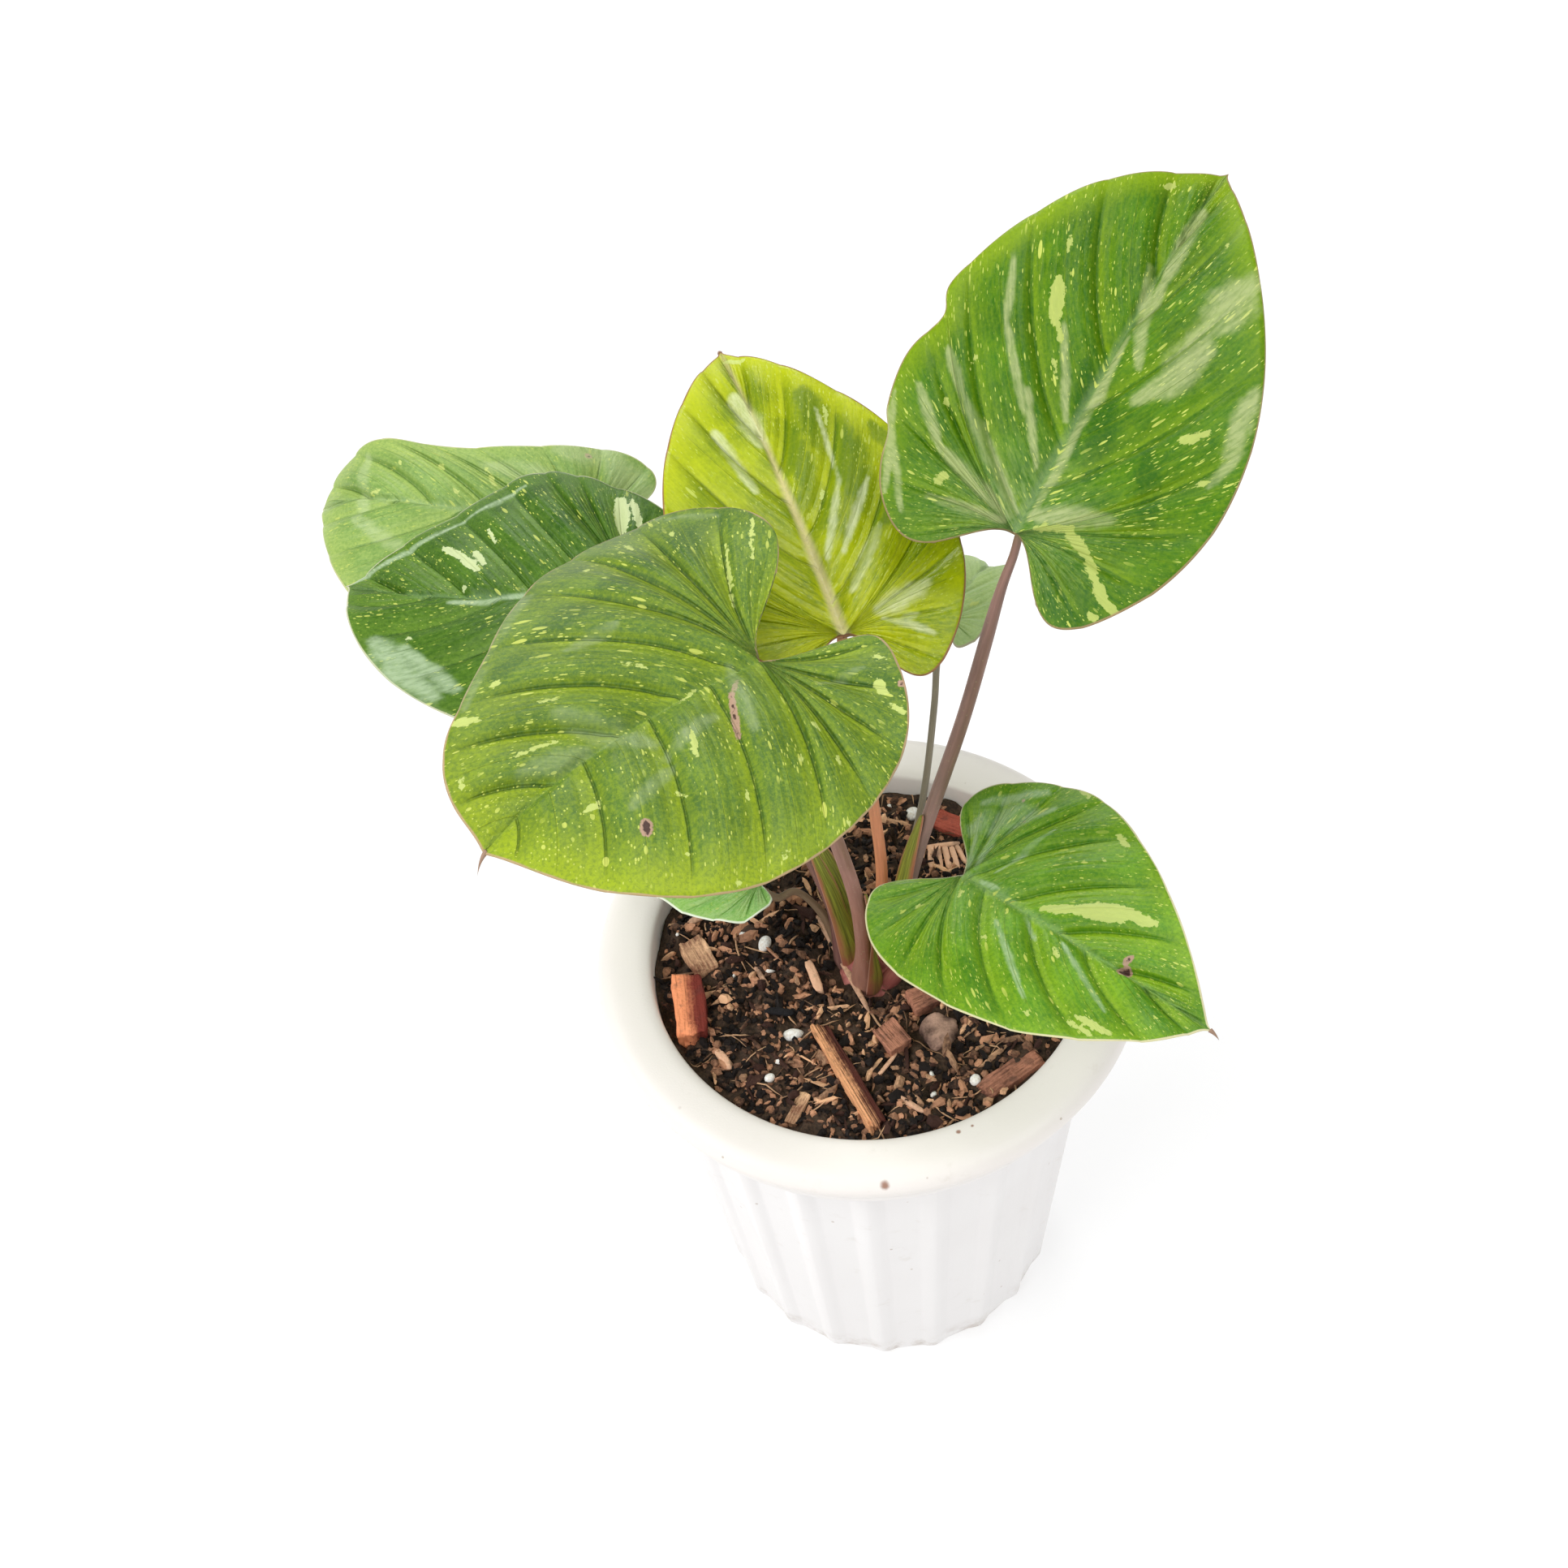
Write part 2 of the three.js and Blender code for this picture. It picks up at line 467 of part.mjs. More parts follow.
/** Centre, two cross directions and radius at each step up a stalk. */
function stalkSteps(leaf, steps) {
  const curve = stalkCurve(leaf);
  const frames = curve.computeFrenetFrames(steps, false);
  return Array.from({ length: steps + 1 }, (_, i) => ({
    point: curve.getPointAt(i / steps),
    tangent: frames.tangents[i],
    normal: frames.normals[i],
    binormal: frames.binormals[i],
    radius: THREE.MathUtils.lerp(leaf.stalkRadius[0], leaf.stalkRadius[1], i / steps),
  }));
}

/** A tapered spindle bent along the stalk's centre line. */
function stalkSolid(leaf, extra = 0) {
  const steps = STALK_STEPS;
  const rings = stalkSteps(leaf, steps);
  const profile = [new THREE.Vector2(0, 0)];
  rings.forEach((ring, i) => profile.push(new THREE.Vector2(ring.radius + extra, i)));
  profile.push(new THREE.Vector2(0, steps));
  const geometry = new THREE.LatheGeometry(profile, STALK_SIDES);
  const position = geometry.attributes.position;
  for (let i = 0; i < position.count; i += 1) {
    const step = Math.round(position.getY(i));
    const ring = rings[step];
    const reach = step === 0 ? -extra : 0;
    const point = ring.point.clone().addScaledVector(ring.tangent, step === steps ? extra : reach);
    point.addScaledVector(ring.normal, position.getX(i)).addScaledVector(ring.binormal, position.getZ(i));
    position.setXYZ(i, point.x, point.y, point.z);
  }
  return toSolid(geometry);
}

/** The sheath: a thin channel hugging the inner side of a stalk, narrowing to a free tip. */
function sheathSolid(leaf) {
  const { from, to, halfAngle } = leaf.sheath;
  const fine = stalkSteps(leaf, 200).filter((ring) => ring.point.z > from && ring.point.z < to);
  const middle = new THREE.Vector3(CROWN_AT[0], CROWN_AT[1], 0);
  const face = (across, down, layer, target) => {
    const ring = fine[Math.round((1 - down) * (fine.length - 1))];
    const inward = middle.clone().sub(ring.point).setZ(0);
    inward.addScaledVector(ring.tangent, -inward.dot(ring.tangent)).normalize();
    const sideways = new THREE.Vector3().crossVectors(ring.tangent, inward);
    const width = rad(halfAngle) * THREE.MathUtils.lerp(SHEATH_TIP, 1, Math.sqrt(down));
    const angle = (2 * across - 1) * width;
    const reach = ring.radius + SEAT_GAP + SHEATH_THICKNESS * (0.5 + 0.5 * layer);
    target.copy(ring.point).addScaledVector(inward, reach * Math.cos(angle));
    target.addScaledVector(sideways, reach * Math.sin(angle));
  };
  return closedSheet(face, SHEATH_COLUMNS, SHEATH_ROWS);
}

// Assembly

const part = new THREE.Group();
part.add(piece('pot', potSolid(), 0xece8df, 0.45));

const crownHole = crownSolid(SEAT_GAP);
let crown = crownSolid();
let soil = soilSolid().subtract(crownHole);

for (const [name, chip] of Object.entries(CHIPS)) {
  part.add(piece(name, chipSolid(chip), chip.color, 0.85));
  soil = soil.subtract(chipSolid(chip, SEAT_GAP));
}
for (const [name, stone] of Object.entries(STONES)) {
  part.add(piece(name, stoneSolid(stone), stone.color, 0.9));
  soil = soil.subtract(stoneSolid(stone, SEAT_GAP));
}

for (const [name, leaf] of Object.entries(LEAVES)) {
  const blade = bladeSolid(leaf);
  const stalk = largestBody(stalkSolid(leaf).subtract(bladeRoom(leaf)));
  const stalkRoom = stalkSolid(leaf, GAP);
  crown = crown.subtract(stalkRoom);
  soil = soil.subtract(stalkRoom);
  part.add(piece(`leaf_${name}_blade`, blade, leaf.green, 0.4));
  part.add(piece(`leaf_${name}_stalk`, stalk, leaf.stem, 0.5));
  if (leaf.sheath) {
    const sheath = largestBody(sheathSolid(leaf).subtract(crownHole));
    part.add(piece(`leaf_${name}_sheath`, sheath, SHEATH_COLOR, 0.5));
  }
}
part.add(piece('crown', largestBody(crown), 0x7c3a3f, 0.6));
part.add(piece('soil', largestBody(soil), 0x2e211b, 0.95));

export default part;
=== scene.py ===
# %% [markdown]
# # A potted variegated homalomena
#
# Heart-shaped, flecked blades stand on long reddish stalks, which all grow from one crown in
# a ribbed white pot. The lesson sets up the camera and the light, and then makes the pot, the
# soil, the blades, the stalks, the sheaths and the crown. Every shape is a formula on a grid of
# points, so each cell first says what the real piece is like and then how the formula draws it.

import bpy
import numpy as np
from mathutils import Matrix, Vector


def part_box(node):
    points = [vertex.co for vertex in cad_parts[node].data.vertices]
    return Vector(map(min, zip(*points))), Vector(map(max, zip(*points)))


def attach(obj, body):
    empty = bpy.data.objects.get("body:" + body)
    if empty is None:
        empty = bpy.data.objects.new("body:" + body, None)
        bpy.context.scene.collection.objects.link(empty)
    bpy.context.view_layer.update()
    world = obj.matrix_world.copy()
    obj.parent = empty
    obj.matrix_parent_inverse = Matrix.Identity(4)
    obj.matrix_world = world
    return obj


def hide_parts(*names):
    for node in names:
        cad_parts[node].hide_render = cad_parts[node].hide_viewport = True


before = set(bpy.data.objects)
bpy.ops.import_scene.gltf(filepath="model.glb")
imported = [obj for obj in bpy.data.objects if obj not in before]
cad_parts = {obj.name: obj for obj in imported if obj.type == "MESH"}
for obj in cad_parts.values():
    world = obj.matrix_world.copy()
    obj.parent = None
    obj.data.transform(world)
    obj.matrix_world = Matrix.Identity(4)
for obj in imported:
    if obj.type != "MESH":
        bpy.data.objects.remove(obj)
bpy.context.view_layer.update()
MM = 0.001

# %% [markdown]
# ## From arrays to meshes
#
# A surface is an array of points with two indices, rows and columns. `sheet_faces` gives the
# two triangles of each of its cells. Rows that meet in one point, as at a leaf's tip, make
# cells with no width, so `make_piece` joins points that lie on each other and drops triangles
# that have lost a side. The texture coordinates stay with the corners, so they survive that.
# A closed body whose volume comes out negative is inside out, and `outside_out` turns it.

# %% Mesh helpers
def sheet_faces(rows, columns, closed=False, flip=False):
    """Two triangles for each cell of a grid; closed joins the last column to the first."""
    index = np.arange(rows * columns).reshape(rows, columns)
    ahead = np.roll(index, -1, axis=1) if closed else index[:, 1:]
    here = index if closed else index[:, :-1]
    a, b, c, d = here[:-1], ahead[:-1], ahead[1:], here[1:]
    faces = np.concatenate([np.stack(corners, -1).reshape(-1, 3) for corners in ([a, b, c], [a, c, d])])
    return faces[:, ::-1] if flip else faces


def join(parts):
    """One (points, faces, layers) triple from many; layers maps a name to two numbers a point."""
    starts = np.cumsum([0] + [len(points) for points, _, _ in parts[:-1]])
    points = np.concatenate([points for points, _, _ in parts])
    faces = np.concatenate([faces + start for (_, faces, _), start in zip(parts, starts)])
    layers = {name: np.concatenate([layers[name] for _, _, layers in parts]) for name in parts[0][2]}
    return points, faces, layers


def make_piece(name, points, faces, layers, material, slot, replaces=(), smooth=True):
    """A mesh object from points in millimetres, with one UV map for each layer."""
    _, first, merged = np.unique(np.round(points, 4), axis=0, return_index=True, return_inverse=True)
    merged = merged.reshape(-1)
    corners = merged[faces]
    sides = (corners != np.roll(corners, 1, axis=1)).all(axis=1)
    corners, sources = corners[sides], faces[sides]
    mesh = bpy.data.meshes.new(name)
    mesh.vertices.add(len(first))
    mesh.vertices.foreach_set("co", (points[first] * MM).ravel())
    mesh.loops.add(corners.size)
    mesh.loops.foreach_set("vertex_index", corners.ravel())
    mesh.polygons.add(len(corners))
    mesh.polygons.foreach_set("loop_start", np.arange(0, corners.size, 3))
    mesh.polygons.foreach_set("use_smooth", np.full(len(corners), smooth))
    for layer, values in layers.items():
        mesh.uv_layers.new(name=layer).data.foreach_set("uv", values[sources.ravel()].ravel())
    mesh.materials.append(material)
    mesh.update(calc_edges=True)
    mesh.validate()
    piece = bpy.data.objects.new(name, mesh)
    bpy.context.scene.collection.objects.link(piece)
    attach(piece, "root")
    if replaces:
        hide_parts(*replaces)
    print(f"{name}: {len(corners)} triangles")
    return piece


def outside_out(points, faces):
    """The same faces, turned round if the body's volume would be negative."""
    a, b, c = (points[faces[:, i]] for i in range(3))
    volume = np.einsum("ij,ij->i", a - points[0], np.cross(b - points[0], c - points[0])).sum()
    return faces if volume > 0 else faces[:, ::-1]


print("one cell has the triangles", sheet_faces(2, 2).tolist())

# %% [markdown]
# Living and broken things are never smooth, so many shapes below add noise. Value noise puts
# a random height on each corner of a lattice and eases from corner to corner. Summing copies
# of it, each twice as fine and half as high, gives the crumbled look of soil and bark.

# %% Noise for shapes
def lattice_noise(points, seed=0):
    """Random heights from -1 to 1 on the whole-numbered corners, eased in between."""
    cell = np.floor(points).astype(np.int64)
    share = points - cell
    share = share * share * (3 - 2 * share)
    total = np.zeros(points.shape[:-1])
    for corner in np.ndindex(2, 2, 2):
        at = cell + np.array(corner)
        mixed = (at * np.array([374761393, 668265263, 1440662683])).sum(-1) + seed * 974634777
        mixed = (mixed ^ (mixed >> 13)) * 1274126177
        height = ((mixed ^ (mixed >> 16)) & 0xFFFFFF) / float(0xFFFFFF)
        total += height * np.where(np.array(corner) == 1, share, 1 - share).prod(-1)
    return 2 * total - 1


def rough(points, size, octaves=3, seed=0):
    """Lattice noise summed over octaves, each half as large and half as high."""
    return sum(lattice_noise(points / size * 2**k, seed + k) / 2**k for k in range(octaves))


def ease(low, high, value):
    """0 below low, 1 above high, and a smooth S between them."""
    share = np.clip((value - low) / (high - low), 0, 1)
    return share * share * (3 - 2 * share)


print("noise at one corner:", lattice_noise(np.array([[1.0, 2.0, 3.0]]), 5).round(3))

# %% [markdown]
# ## From sums to shader nodes
#
# A finish is a little program made of nodes. They could be drawn by hand in the shader editor,
# but a sum of ten masks is easier to read, and to change, as a sum. `Value` wraps a node's
# output so that the program reads that way: `1 - mask * 0.5` adds the two Math nodes.

# %% Values
class Value:
    """A node's output that can stand in a sum. Each operator adds one Math node."""

    def __init__(self, finish, socket):
        self.finish = finish
        self.socket = socket

    def sum(self, operation, first, second=0.0):
        """One Math node on two values or numbers."""
        return self.finish.node("ShaderNodeMath", {"operation": operation}, {0: first, 1: second})

    def __add__(self, other):
        return self.sum("ADD", self, other)

    def __radd__(self, other):
        return self.sum("ADD", other, self)

    def __sub__(self, other):
        return self.sum("SUBTRACT", self, other)

    def __rsub__(self, other):
        return self.sum("SUBTRACT", other, self)

    def __mul__(self, other):
        return self.sum("MULTIPLY", self, other)

    def __rmul__(self, other):
        return self.sum("MULTIPLY", other, self)

    def __abs__(self):
        return self.sum("ABSOLUTE", self)

    def high(self, other):
        """The larger of two values."""
        return self.sum("MAXIMUM", self, other)


print("a Value takes part in + - * abs() and high()")

# %% [markdown]
# `Finish` is a material with one Principled shader. `Finish.node` makes any node from its type,
# its settings and the values or links of its sockets, and the other methods are the few nodes
# that these finishes use: noise, scattered cells, steps, mixes and the bump.

# %% Finishes
class Finish:
    """A material whose nodes are added one by one."""

    def __init__(self, name, **fixed):
        self.material = bpy.data.materials.new(name)
        self.material.use_nodes = True
        self.tree = self.material.node_tree
        self.shader = self.tree.nodes["Principled BSDF"]
        for socket, value in fixed.items():
            self.shader.inputs[socket.replace("_", " ")].default_value = value

    def node(self, kind, settings=None, sockets=None, output=0):
        """Any node: settings first, then sockets by name or number, then one of its outputs."""
        node = self.tree.nodes.new(kind)
        for setting, value in (settings or {}).items():
            setattr(node, setting, value)
        for socket, value in (sockets or {}).items():
            if isinstance(value, Value):
                self.tree.links.new(value.socket, node.inputs[socket])
            else:
                node.inputs[socket].default_value = value
        return Value(self, node.outputs[output])

    def layer(self, name):
        """The two numbers of a UV map, as two values."""
        pair = self.node("ShaderNodeUVMap", {"uv_map": name})
        return [self.node("ShaderNodeSeparateXYZ", {}, {0: pair}, axis) for axis in (0, 1)]

    def place(self):
        """The point on the piece, in millimetres."""
        point = self.node("ShaderNodeTexCoord", {}, {}, "Object")
        return self.node("ShaderNodeVectorMath", {"operation": "SCALE"}, {0: point, "Scale": 1000.0})

    def vector(self, x, y, z=0.0):
        """Three values or numbers as one vector."""
        return self.node("ShaderNodeCombineXYZ", {}, {0: x, 1: y, 2: z})

    def noise(self, vector, size, detail=2.0, roughness=0.5):
        """Smooth noise round 0.5, with lumps of the given size."""
        sockets = {"Vector": vector, "Scale": 1 / size, "Detail": detail, "Roughness": roughness}
        return self.node("ShaderNodeTexNoise", {}, sockets)

    def cells(self, vector, size):
        """Distance to the nearest of many scattered points, and that point's own random number."""
        settings = {"feature": "F1"}
        sockets = {"Vector": vector, "Scale": 1 / size}
        distance = self.node("ShaderNodeTexVoronoi", settings, sockets, "Distance")
        tint = self.node("ShaderNodeTexVoronoi", settings, sockets, "Color")
        return distance, self.node("ShaderNodeSeparateXYZ", {}, {0: tint}, 0)

    def step(self, value, low, high):
        """0 to 1 as the value goes from low to high, with an S between them."""
        sockets = {"Value": value, "From Min": low, "From Max": high}
        return self.node("ShaderNodeMapRange", {"interpolation_type": "SMOOTHSTEP"}, sockets)

    def mix(self, share, first, second):
        """A colour that goes from the first to the second as share goes from 0 to 1."""
        colours = [c if isinstance(c, Value) else (*c, 1.0) for c in (first, second)]
        sockets = {0: share, 6: colours[0], 7: colours[1]}
        return self.node("ShaderNodeMix", {"data_type": "RGBA"}, sockets, 2)

    def set(self, **sockets):
        """Links values to the shader's own sockets."""
        for socket, value in sockets.items():
            self.tree.links.new(value.socket, self.shader.inputs[socket.replace("_", " ")])
        return self.material

    def bump(self, height, depth):
        """A normal that makes the surface look raised by height times depth millimetres."""
        sockets = {"Height": height, "Distance": depth * MM, "Strength": 1.0}
        return self.node("ShaderNodeBump", {}, sockets)


def scaled(colour, share):
    """The same colour, darker or lighter by a factor."""
    return tuple(share * part for part in colour)


print("a colour halved:", scaled((0.8, 0.6, 0.4), 0.5))

# %% [markdown]
# ## Camera
#
# The photograph looks down at the pot from about as far as a person holds a camera, and it is
# turned slightly. The camera is given by its place, the direction of its optical axis and its
# roll, and its lens follows from the focal length in pixels of a 1932 pixel wide picture.

# %% Camera
CAMERA_AT = np.array([0.0, -603.8, 1078.9])
LOOK_DOWN = np.radians(52.29)
LOOK_ASIDE = np.radians(-2.26)
ROLL = np.radians(-6.52)
FOCAL_PIXELS = 3600
PICTURE_PIXELS = 1932
SENSOR = 36.0

north = np.array([np.sin(LOOK_ASIDE), np.cos(LOOK_ASIDE), 0.0])
ahead = np.cos(LOOK_DOWN) * north - np.sin(LOOK_DOWN) * np.array([0.0, 0.0, 1.0])
level = np.array([np.cos(LOOK_ASIDE), -np.sin(LOOK_ASIDE), 0.0])
upright = np.cross(level, ahead)
right = np.cos(ROLL) * level + np.sin(ROLL) * upright
up = np.cross(right, ahead)
camera = bpy.data.objects.new("camera", bpy.data.cameras.new("camera"))
camera.data.sensor_width = SENSOR
camera.data.lens = SENSOR * FOCAL_PIXELS / PICTURE_PIXELS
turn = np.eye(4)
turn[:3, :3] = np.stack([right, up, -ahead], axis=1)
turn[:3, 3] = CAMERA_AT * MM
camera.matrix_world = Matrix(turn.tolist())
bpy.context.scene.collection.objects.link(camera)
bpy.context.scene.camera = camera
print("camera lens", round(camera.data.lens, 2), "mm at", CAMERA_AT)

# %% [markdown]
# ## Light and floor
#
# The photograph is a bright studio picture on white. A weak sky fills the shadows and five
# wide lamps stand round the plant: the key lights it from the left and front, and those above,
# behind and beside it are what the glossy blades mirror. The floor is a light table, a grey
# sheet that glows evenly, so that it stays white in the plant's shadow too.

# %% Light and floor
SKY_STRENGTH = 0.42
FLOOR_SIZE = 12.0
FLOOR_GLOW = 0.6
LAMP_AIM = Vector((0, 0, 0.25))
LAMPS = {
    "key": {"at": (-1.3, -0.9, 1.7), "size": 1.7, "power": 28.0},
    "right": {"at": (1.3, -1.0, 1.7), "size": 1.2, "power": 14.0},
    "top": {"at": (0.15, 0.35, 2.2), "size": 0.8, "power": 13.0},
    "back": {"at": (-0.2, 2.1, 1.5), "size": 0.8, "power": 13.0},
    "side": {"at": (-1.7, 0.2, 1.4), "size": 0.7, "power": 8.0},
}

world = bpy.data.worlds.new("studio")
world.use_nodes = True
world.node_tree.nodes["Background"].inputs["Color"].default_value = (1, 1, 1, 1)
world.node_tree.nodes["Background"].inputs["Strength"].default_value = SKY_STRENGTH
bpy.context.scene.world = world
bpy.context.scene.view_settings.view_transform = "Standard"

for name, lamp in LAMPS.items():
    light = bpy.data.objects.new(name, bpy.data.lights.new(name, "AREA"))
    light.data.size = lamp["size"]
    light.data.energy = lamp["power"]
    light.location = lamp["at"]
    light.rotation_euler = (LAMP_AIM - Vector(lamp["at"])).to_track_quat("-Z", "Y").to_euler()
    bpy.context.scene.collection.objects.link(light)

floor_mesh = bpy.data.meshes.new("floor")
edge = FLOOR_SIZE / 2
floor_corners = [(-edge, -edge, 0), (edge, -edge, 0), (edge, edge, 0), (-edge, edge, 0)]
floor_mesh.from_pydata(floor_corners, [], [(0, 1, 2, 3)])
floor_finish = Finish(
    "floor_white", Roughness=0.9, Emission_Color=(1, 1, 1, 1), Emission_Strength=FLOOR_GLOW
)
floor_cloud = floor_finish.noise(floor_finish.place(), 400.0)
floor_mesh.materials.append(
    floor_finish.set(Base_Color=floor_finish.mix(floor_cloud, (0.38, 0.38, 0.38), (0.42, 0.42, 0.42)))
)
floor = bpy.data.objects.new("floor", floor_mesh)
bpy.context.scene.collection.objects.link(floor)
print("lamps:", len(LAMPS), "sky:", SKY_STRENGTH)

# %% [markdown]
# ## Pot
#
# The pot is white plastic: a tapered wall of twenty flat panels with a soft rib on each corner,
# and a thick rolled rim whose skirt hangs over the top of the ribs and ends in a small bead.
# It is one profile turned about the axis. Where the profile is marked as ribbed, the radius
# follows a panel's chord between two ribs and grows by a rounded bump near each rib's middle.
# Bevels could round the corners of the profile afterwards, but here each one is cut off with a
# short curve first, so that every corner has its own reach. The base is not turned, because
# six drain holes go through it: each sixth of it is a sheet that runs from the wall's lower
# border, in to a hole's circle, up through the hole and back out over the floor inside.

# %% Pot shape
POT_HEIGHT = 197.0
RIM_RADIUS = 100.0
MOUTH_RADIUS = 80.0
LIP_DEPTH = 2.2
WALL_TOP_RADIUS = 83.7
BASE_RADIUS = 64.6
WALL = 2.7
POT_FLOOR = 3.5
RIBS = 20
RIB_DEPTH = 2.3
RIB_HALF_WIDTH = np.radians(4.6)
RIB_FOOT = 0.45
RIB_FIRST = np.radians(264)
POT_COLUMNS = RIBS * 30
DRAIN_HOLES = 6
DRAIN_RADIUS = 4.0
DRAIN_CIRCLE = 42.0
DRAIN_FIRST = np.radians(36)
top, rim = POT_HEIGHT, RIM_RADIUS
# Each corner: radius, height, how far its rounding reaches, and how far the ribs stand out.
POT_CORNERS = np.array([
    [0, 0, 0, 0], [BASE_RADIUS - 1.6, 0, 0.8, 0], [BASE_RADIUS, 2, 1.0, RIB_FOOT],
    [WALL_TOP_RADIUS - 0.8, top - 18, 0, 1], [WALL_TOP_RADIUS, top - 11, 2, 0],
    [rim - 12, top - 4.6, 2, 0], [rim - 7.5, top - 3.4, 2, 0], [rim - 4, top - 7, 2, 0],
    [rim - 6.3, top - 18.5, 0.6, 0], [rim - 4.4, top - 18.6, 0.7, 0], [rim - 3.7, top - 16.5, 1.2, 0],
    [rim - 4.5, top - 14.4, 1.2, 0], [rim - 1.0, top - 10.5, 3, 0], [rim + 0.3, top - 6.2, 3, 0],
    [rim - 1.4, top - 2.6, 2.6, 0], [rim - 4.6, top - 0.5, 2.2, 0], [rim - 9, top + 0.1, 2.6, 0],
    [rim - 16, top - 0.3, 3, 0], [MOUTH_RADIUS, top - LIP_DEPTH, 1.6, 0],
    [MOUTH_RADIUS - 0.5, top - 8, 1, 0], [BASE_RADIUS - WALL + 0.3, POT_FLOOR, 1.5, 0],
    [0, POT_FLOOR, 0, 0],
])


def rounded_profile(corners, steps=5):
    """Cuts each corner with a curve from just before it to just after it."""
    points = [corners[0]]
    for before, corner, after in zip(corners[:-2], corners[1:-1], corners[2:]):
        reach = corner[2]
        if reach == 0:
            points.append(corner)
            continue
        back, forth = before - corner, after - corner
        back_length, forth_length = np.hypot(*back[:2]), np.hypot(*forth[:2])
        start = corner + back * min(reach / back_length, 0.45)
        end = corner + forth * min(reach / forth_length, 0.45)
        for share in np.linspace(0, 1, steps):
            near, far = 1 - share, share
            points.append(near**2 * start + 2 * far * near * corner + far**2 * end)
    points.append(corners[-1])
    return np.array(points)


def drained_base(angle, outer, inner):
    """The base with its holes: each sixth is a sheet from its lower border through a hole to its
    upper border. A border is a sixth of a circle and the two radii that close it."""
    share = POT_COLUMNS // DRAIN_HOLES
    way = np.linspace(0, 1, 9, endpoint=False)[:, None]
    parts = []
    for k in range(DRAIN_HOLES):
        columns = (np.arange(share + 1) + k * share) % POT_COLUMNS
        def border(edge):
            arc = edge[columns]
            centre = arc[0] * [0, 0, 1]
            back = centre + way[1:] * (arc[-1] - centre)
            return np.concatenate([centre + way * (arc[0] - centre), arc, back[::-1]])
        low, high = border(outer), border(inner)
        turn = angle[k * share] + DRAIN_FIRST
        centre = DRAIN_CIRCLE * np.array([np.cos(turn), np.sin(turn), 0])
        away = (low - centre) * [1, 1, 0]
        ring = centre + DRAIN_RADIUS * away / np.linalg.norm(away, axis=1, keepdims=True)
        rows = np.stack([low, ring, ring + [0, 0, POT_FLOOR], high])
        faces = sheet_faces(4, len(low), closed=True, flip=True)
        parts.append((rows.reshape(-1, 3), faces, {}))
    return parts


profile = rounded_profile(POT_CORNERS)[1:-1]
angle = RIB_FIRST + np.arange(POT_COLUMNS) * 2 * np.pi / POT_COLUMNS
from_rib = (angle - RIB_FIRST + np.pi / RIBS) % (2 * np.pi / RIBS) - np.pi / RIBS
across_rib = np.clip(np.abs(from_rib) / RIB_HALF_WIDTH, 0, 1)
rib_rise = RIB_DEPTH * (1 - across_rib**2.4) ** 1.4
chord = np.cos(np.pi / RIBS) / np.cos(np.pi / RIBS - np.abs(from_rib))
ribbed = profile[:, 3:]
radius = profile[:, :1] * (1 - (ribbed > 0) * (1 - chord)) + ribbed * rib_rise
level_z = np.repeat(profile[:, 1:2], POT_COLUMNS, 1)
pot_points = np.stack([radius * np.cos(angle), radius * np.sin(angle), level_z], -1)
pot_wall = (pot_points.reshape(-1, 3), sheet_faces(len(profile), POT_COLUMNS, closed=True), {})
pot_parts = join([pot_wall] + drained_base(angle, pot_points[0], pot_points[-1]))
print("pot profile:", len(profile), "points, drain holes:", DRAIN_HOLES)

# %% [markdown]
# White plastic is only interesting for what has happened to it. The rim is a little creamy,
# dust has settled near the base, and specks and four brown stains lie on it. Each kind of dirt
# is a mask: noise for the dust, scattered points for the specks, and the distance to a given
# place, made uneven by noise, for a stain. Only a faint bump keeps the plastic from looking flat.

# %% Pot finish
# Each stain on the rim: x, y, z and size.
STAINS = [(-1, -98, 193.5, 2.3), (26, -81, 196.5, 1.2), (31, -79, 196.5, 0.9), (68, -71, 192, 1.2)]

pot_finish = Finish("pot_plastic", IOR=1.46)
point = pot_finish.place()
height = pot_finish.node("ShaderNodeSeparateXYZ", {}, {0: point}, 2)
cloud = pot_finish.noise(point, 60.0, 3.0)
grime = pot_finish.noise(point, 9.0, 5.0, 0.65)
speck_distance, speck_tint = pot_finish.cells(point, 7.0)
specks = pot_finish.step(speck_distance, 0.11, 0.06) * pot_finish.step(speck_tint, 0.86, 0.9)
low_dirt = pot_finish.step(height, 16.0, 0.0) * pot_finish.step(grime, 0.42, 0.7)
rim_cream = pot_finish.step(height, 172.0, 190.0)
plastic = pot_finish.mix(cloud, (0.82, 0.795, 0.785), (0.88, 0.865, 0.86))
plastic = pot_finish.mix(rim_cream * 0.8, plastic, (0.87, 0.82, 0.775))
plastic = pot_finish.mix(pot_finish.step(grime, 0.6, 0.78) * 0.25, plastic, (0.62, 0.56, 0.48))
plastic = pot_finish.mix(low_dirt * 0.55, plastic, (0.36, 0.27, 0.19))
plastic = pot_finish.mix(specks * 0.5, plastic, (0.33, 0.22, 0.13))
for x, y, z, size in STAINS:
    ends = {0: point, 1: (x, y, z)}
    apart = pot_finish.node("ShaderNodeVectorMath", {"operation": "DISTANCE"}, ends, "Value")
    stain = pot_finish.step(apart + grime * size - size / 2, size, size * 0.4)
    plastic = pot_finish.mix(stain * 0.85, plastic, (0.28, 0.10, 0.04))
pot_fine = pot_finish.noise(point, 0.8, 2.0)
pot_material = pot_finish.set(
    Base_Color=plastic,
    Roughness=0.34 + grime * 0.22,
    Normal=pot_finish.bump(pot_fine * 0.4 + cloud, 0.12),
)
make_piece("pot_shell", *pot_parts, pot_material, "pot_plastic", ["pot"])

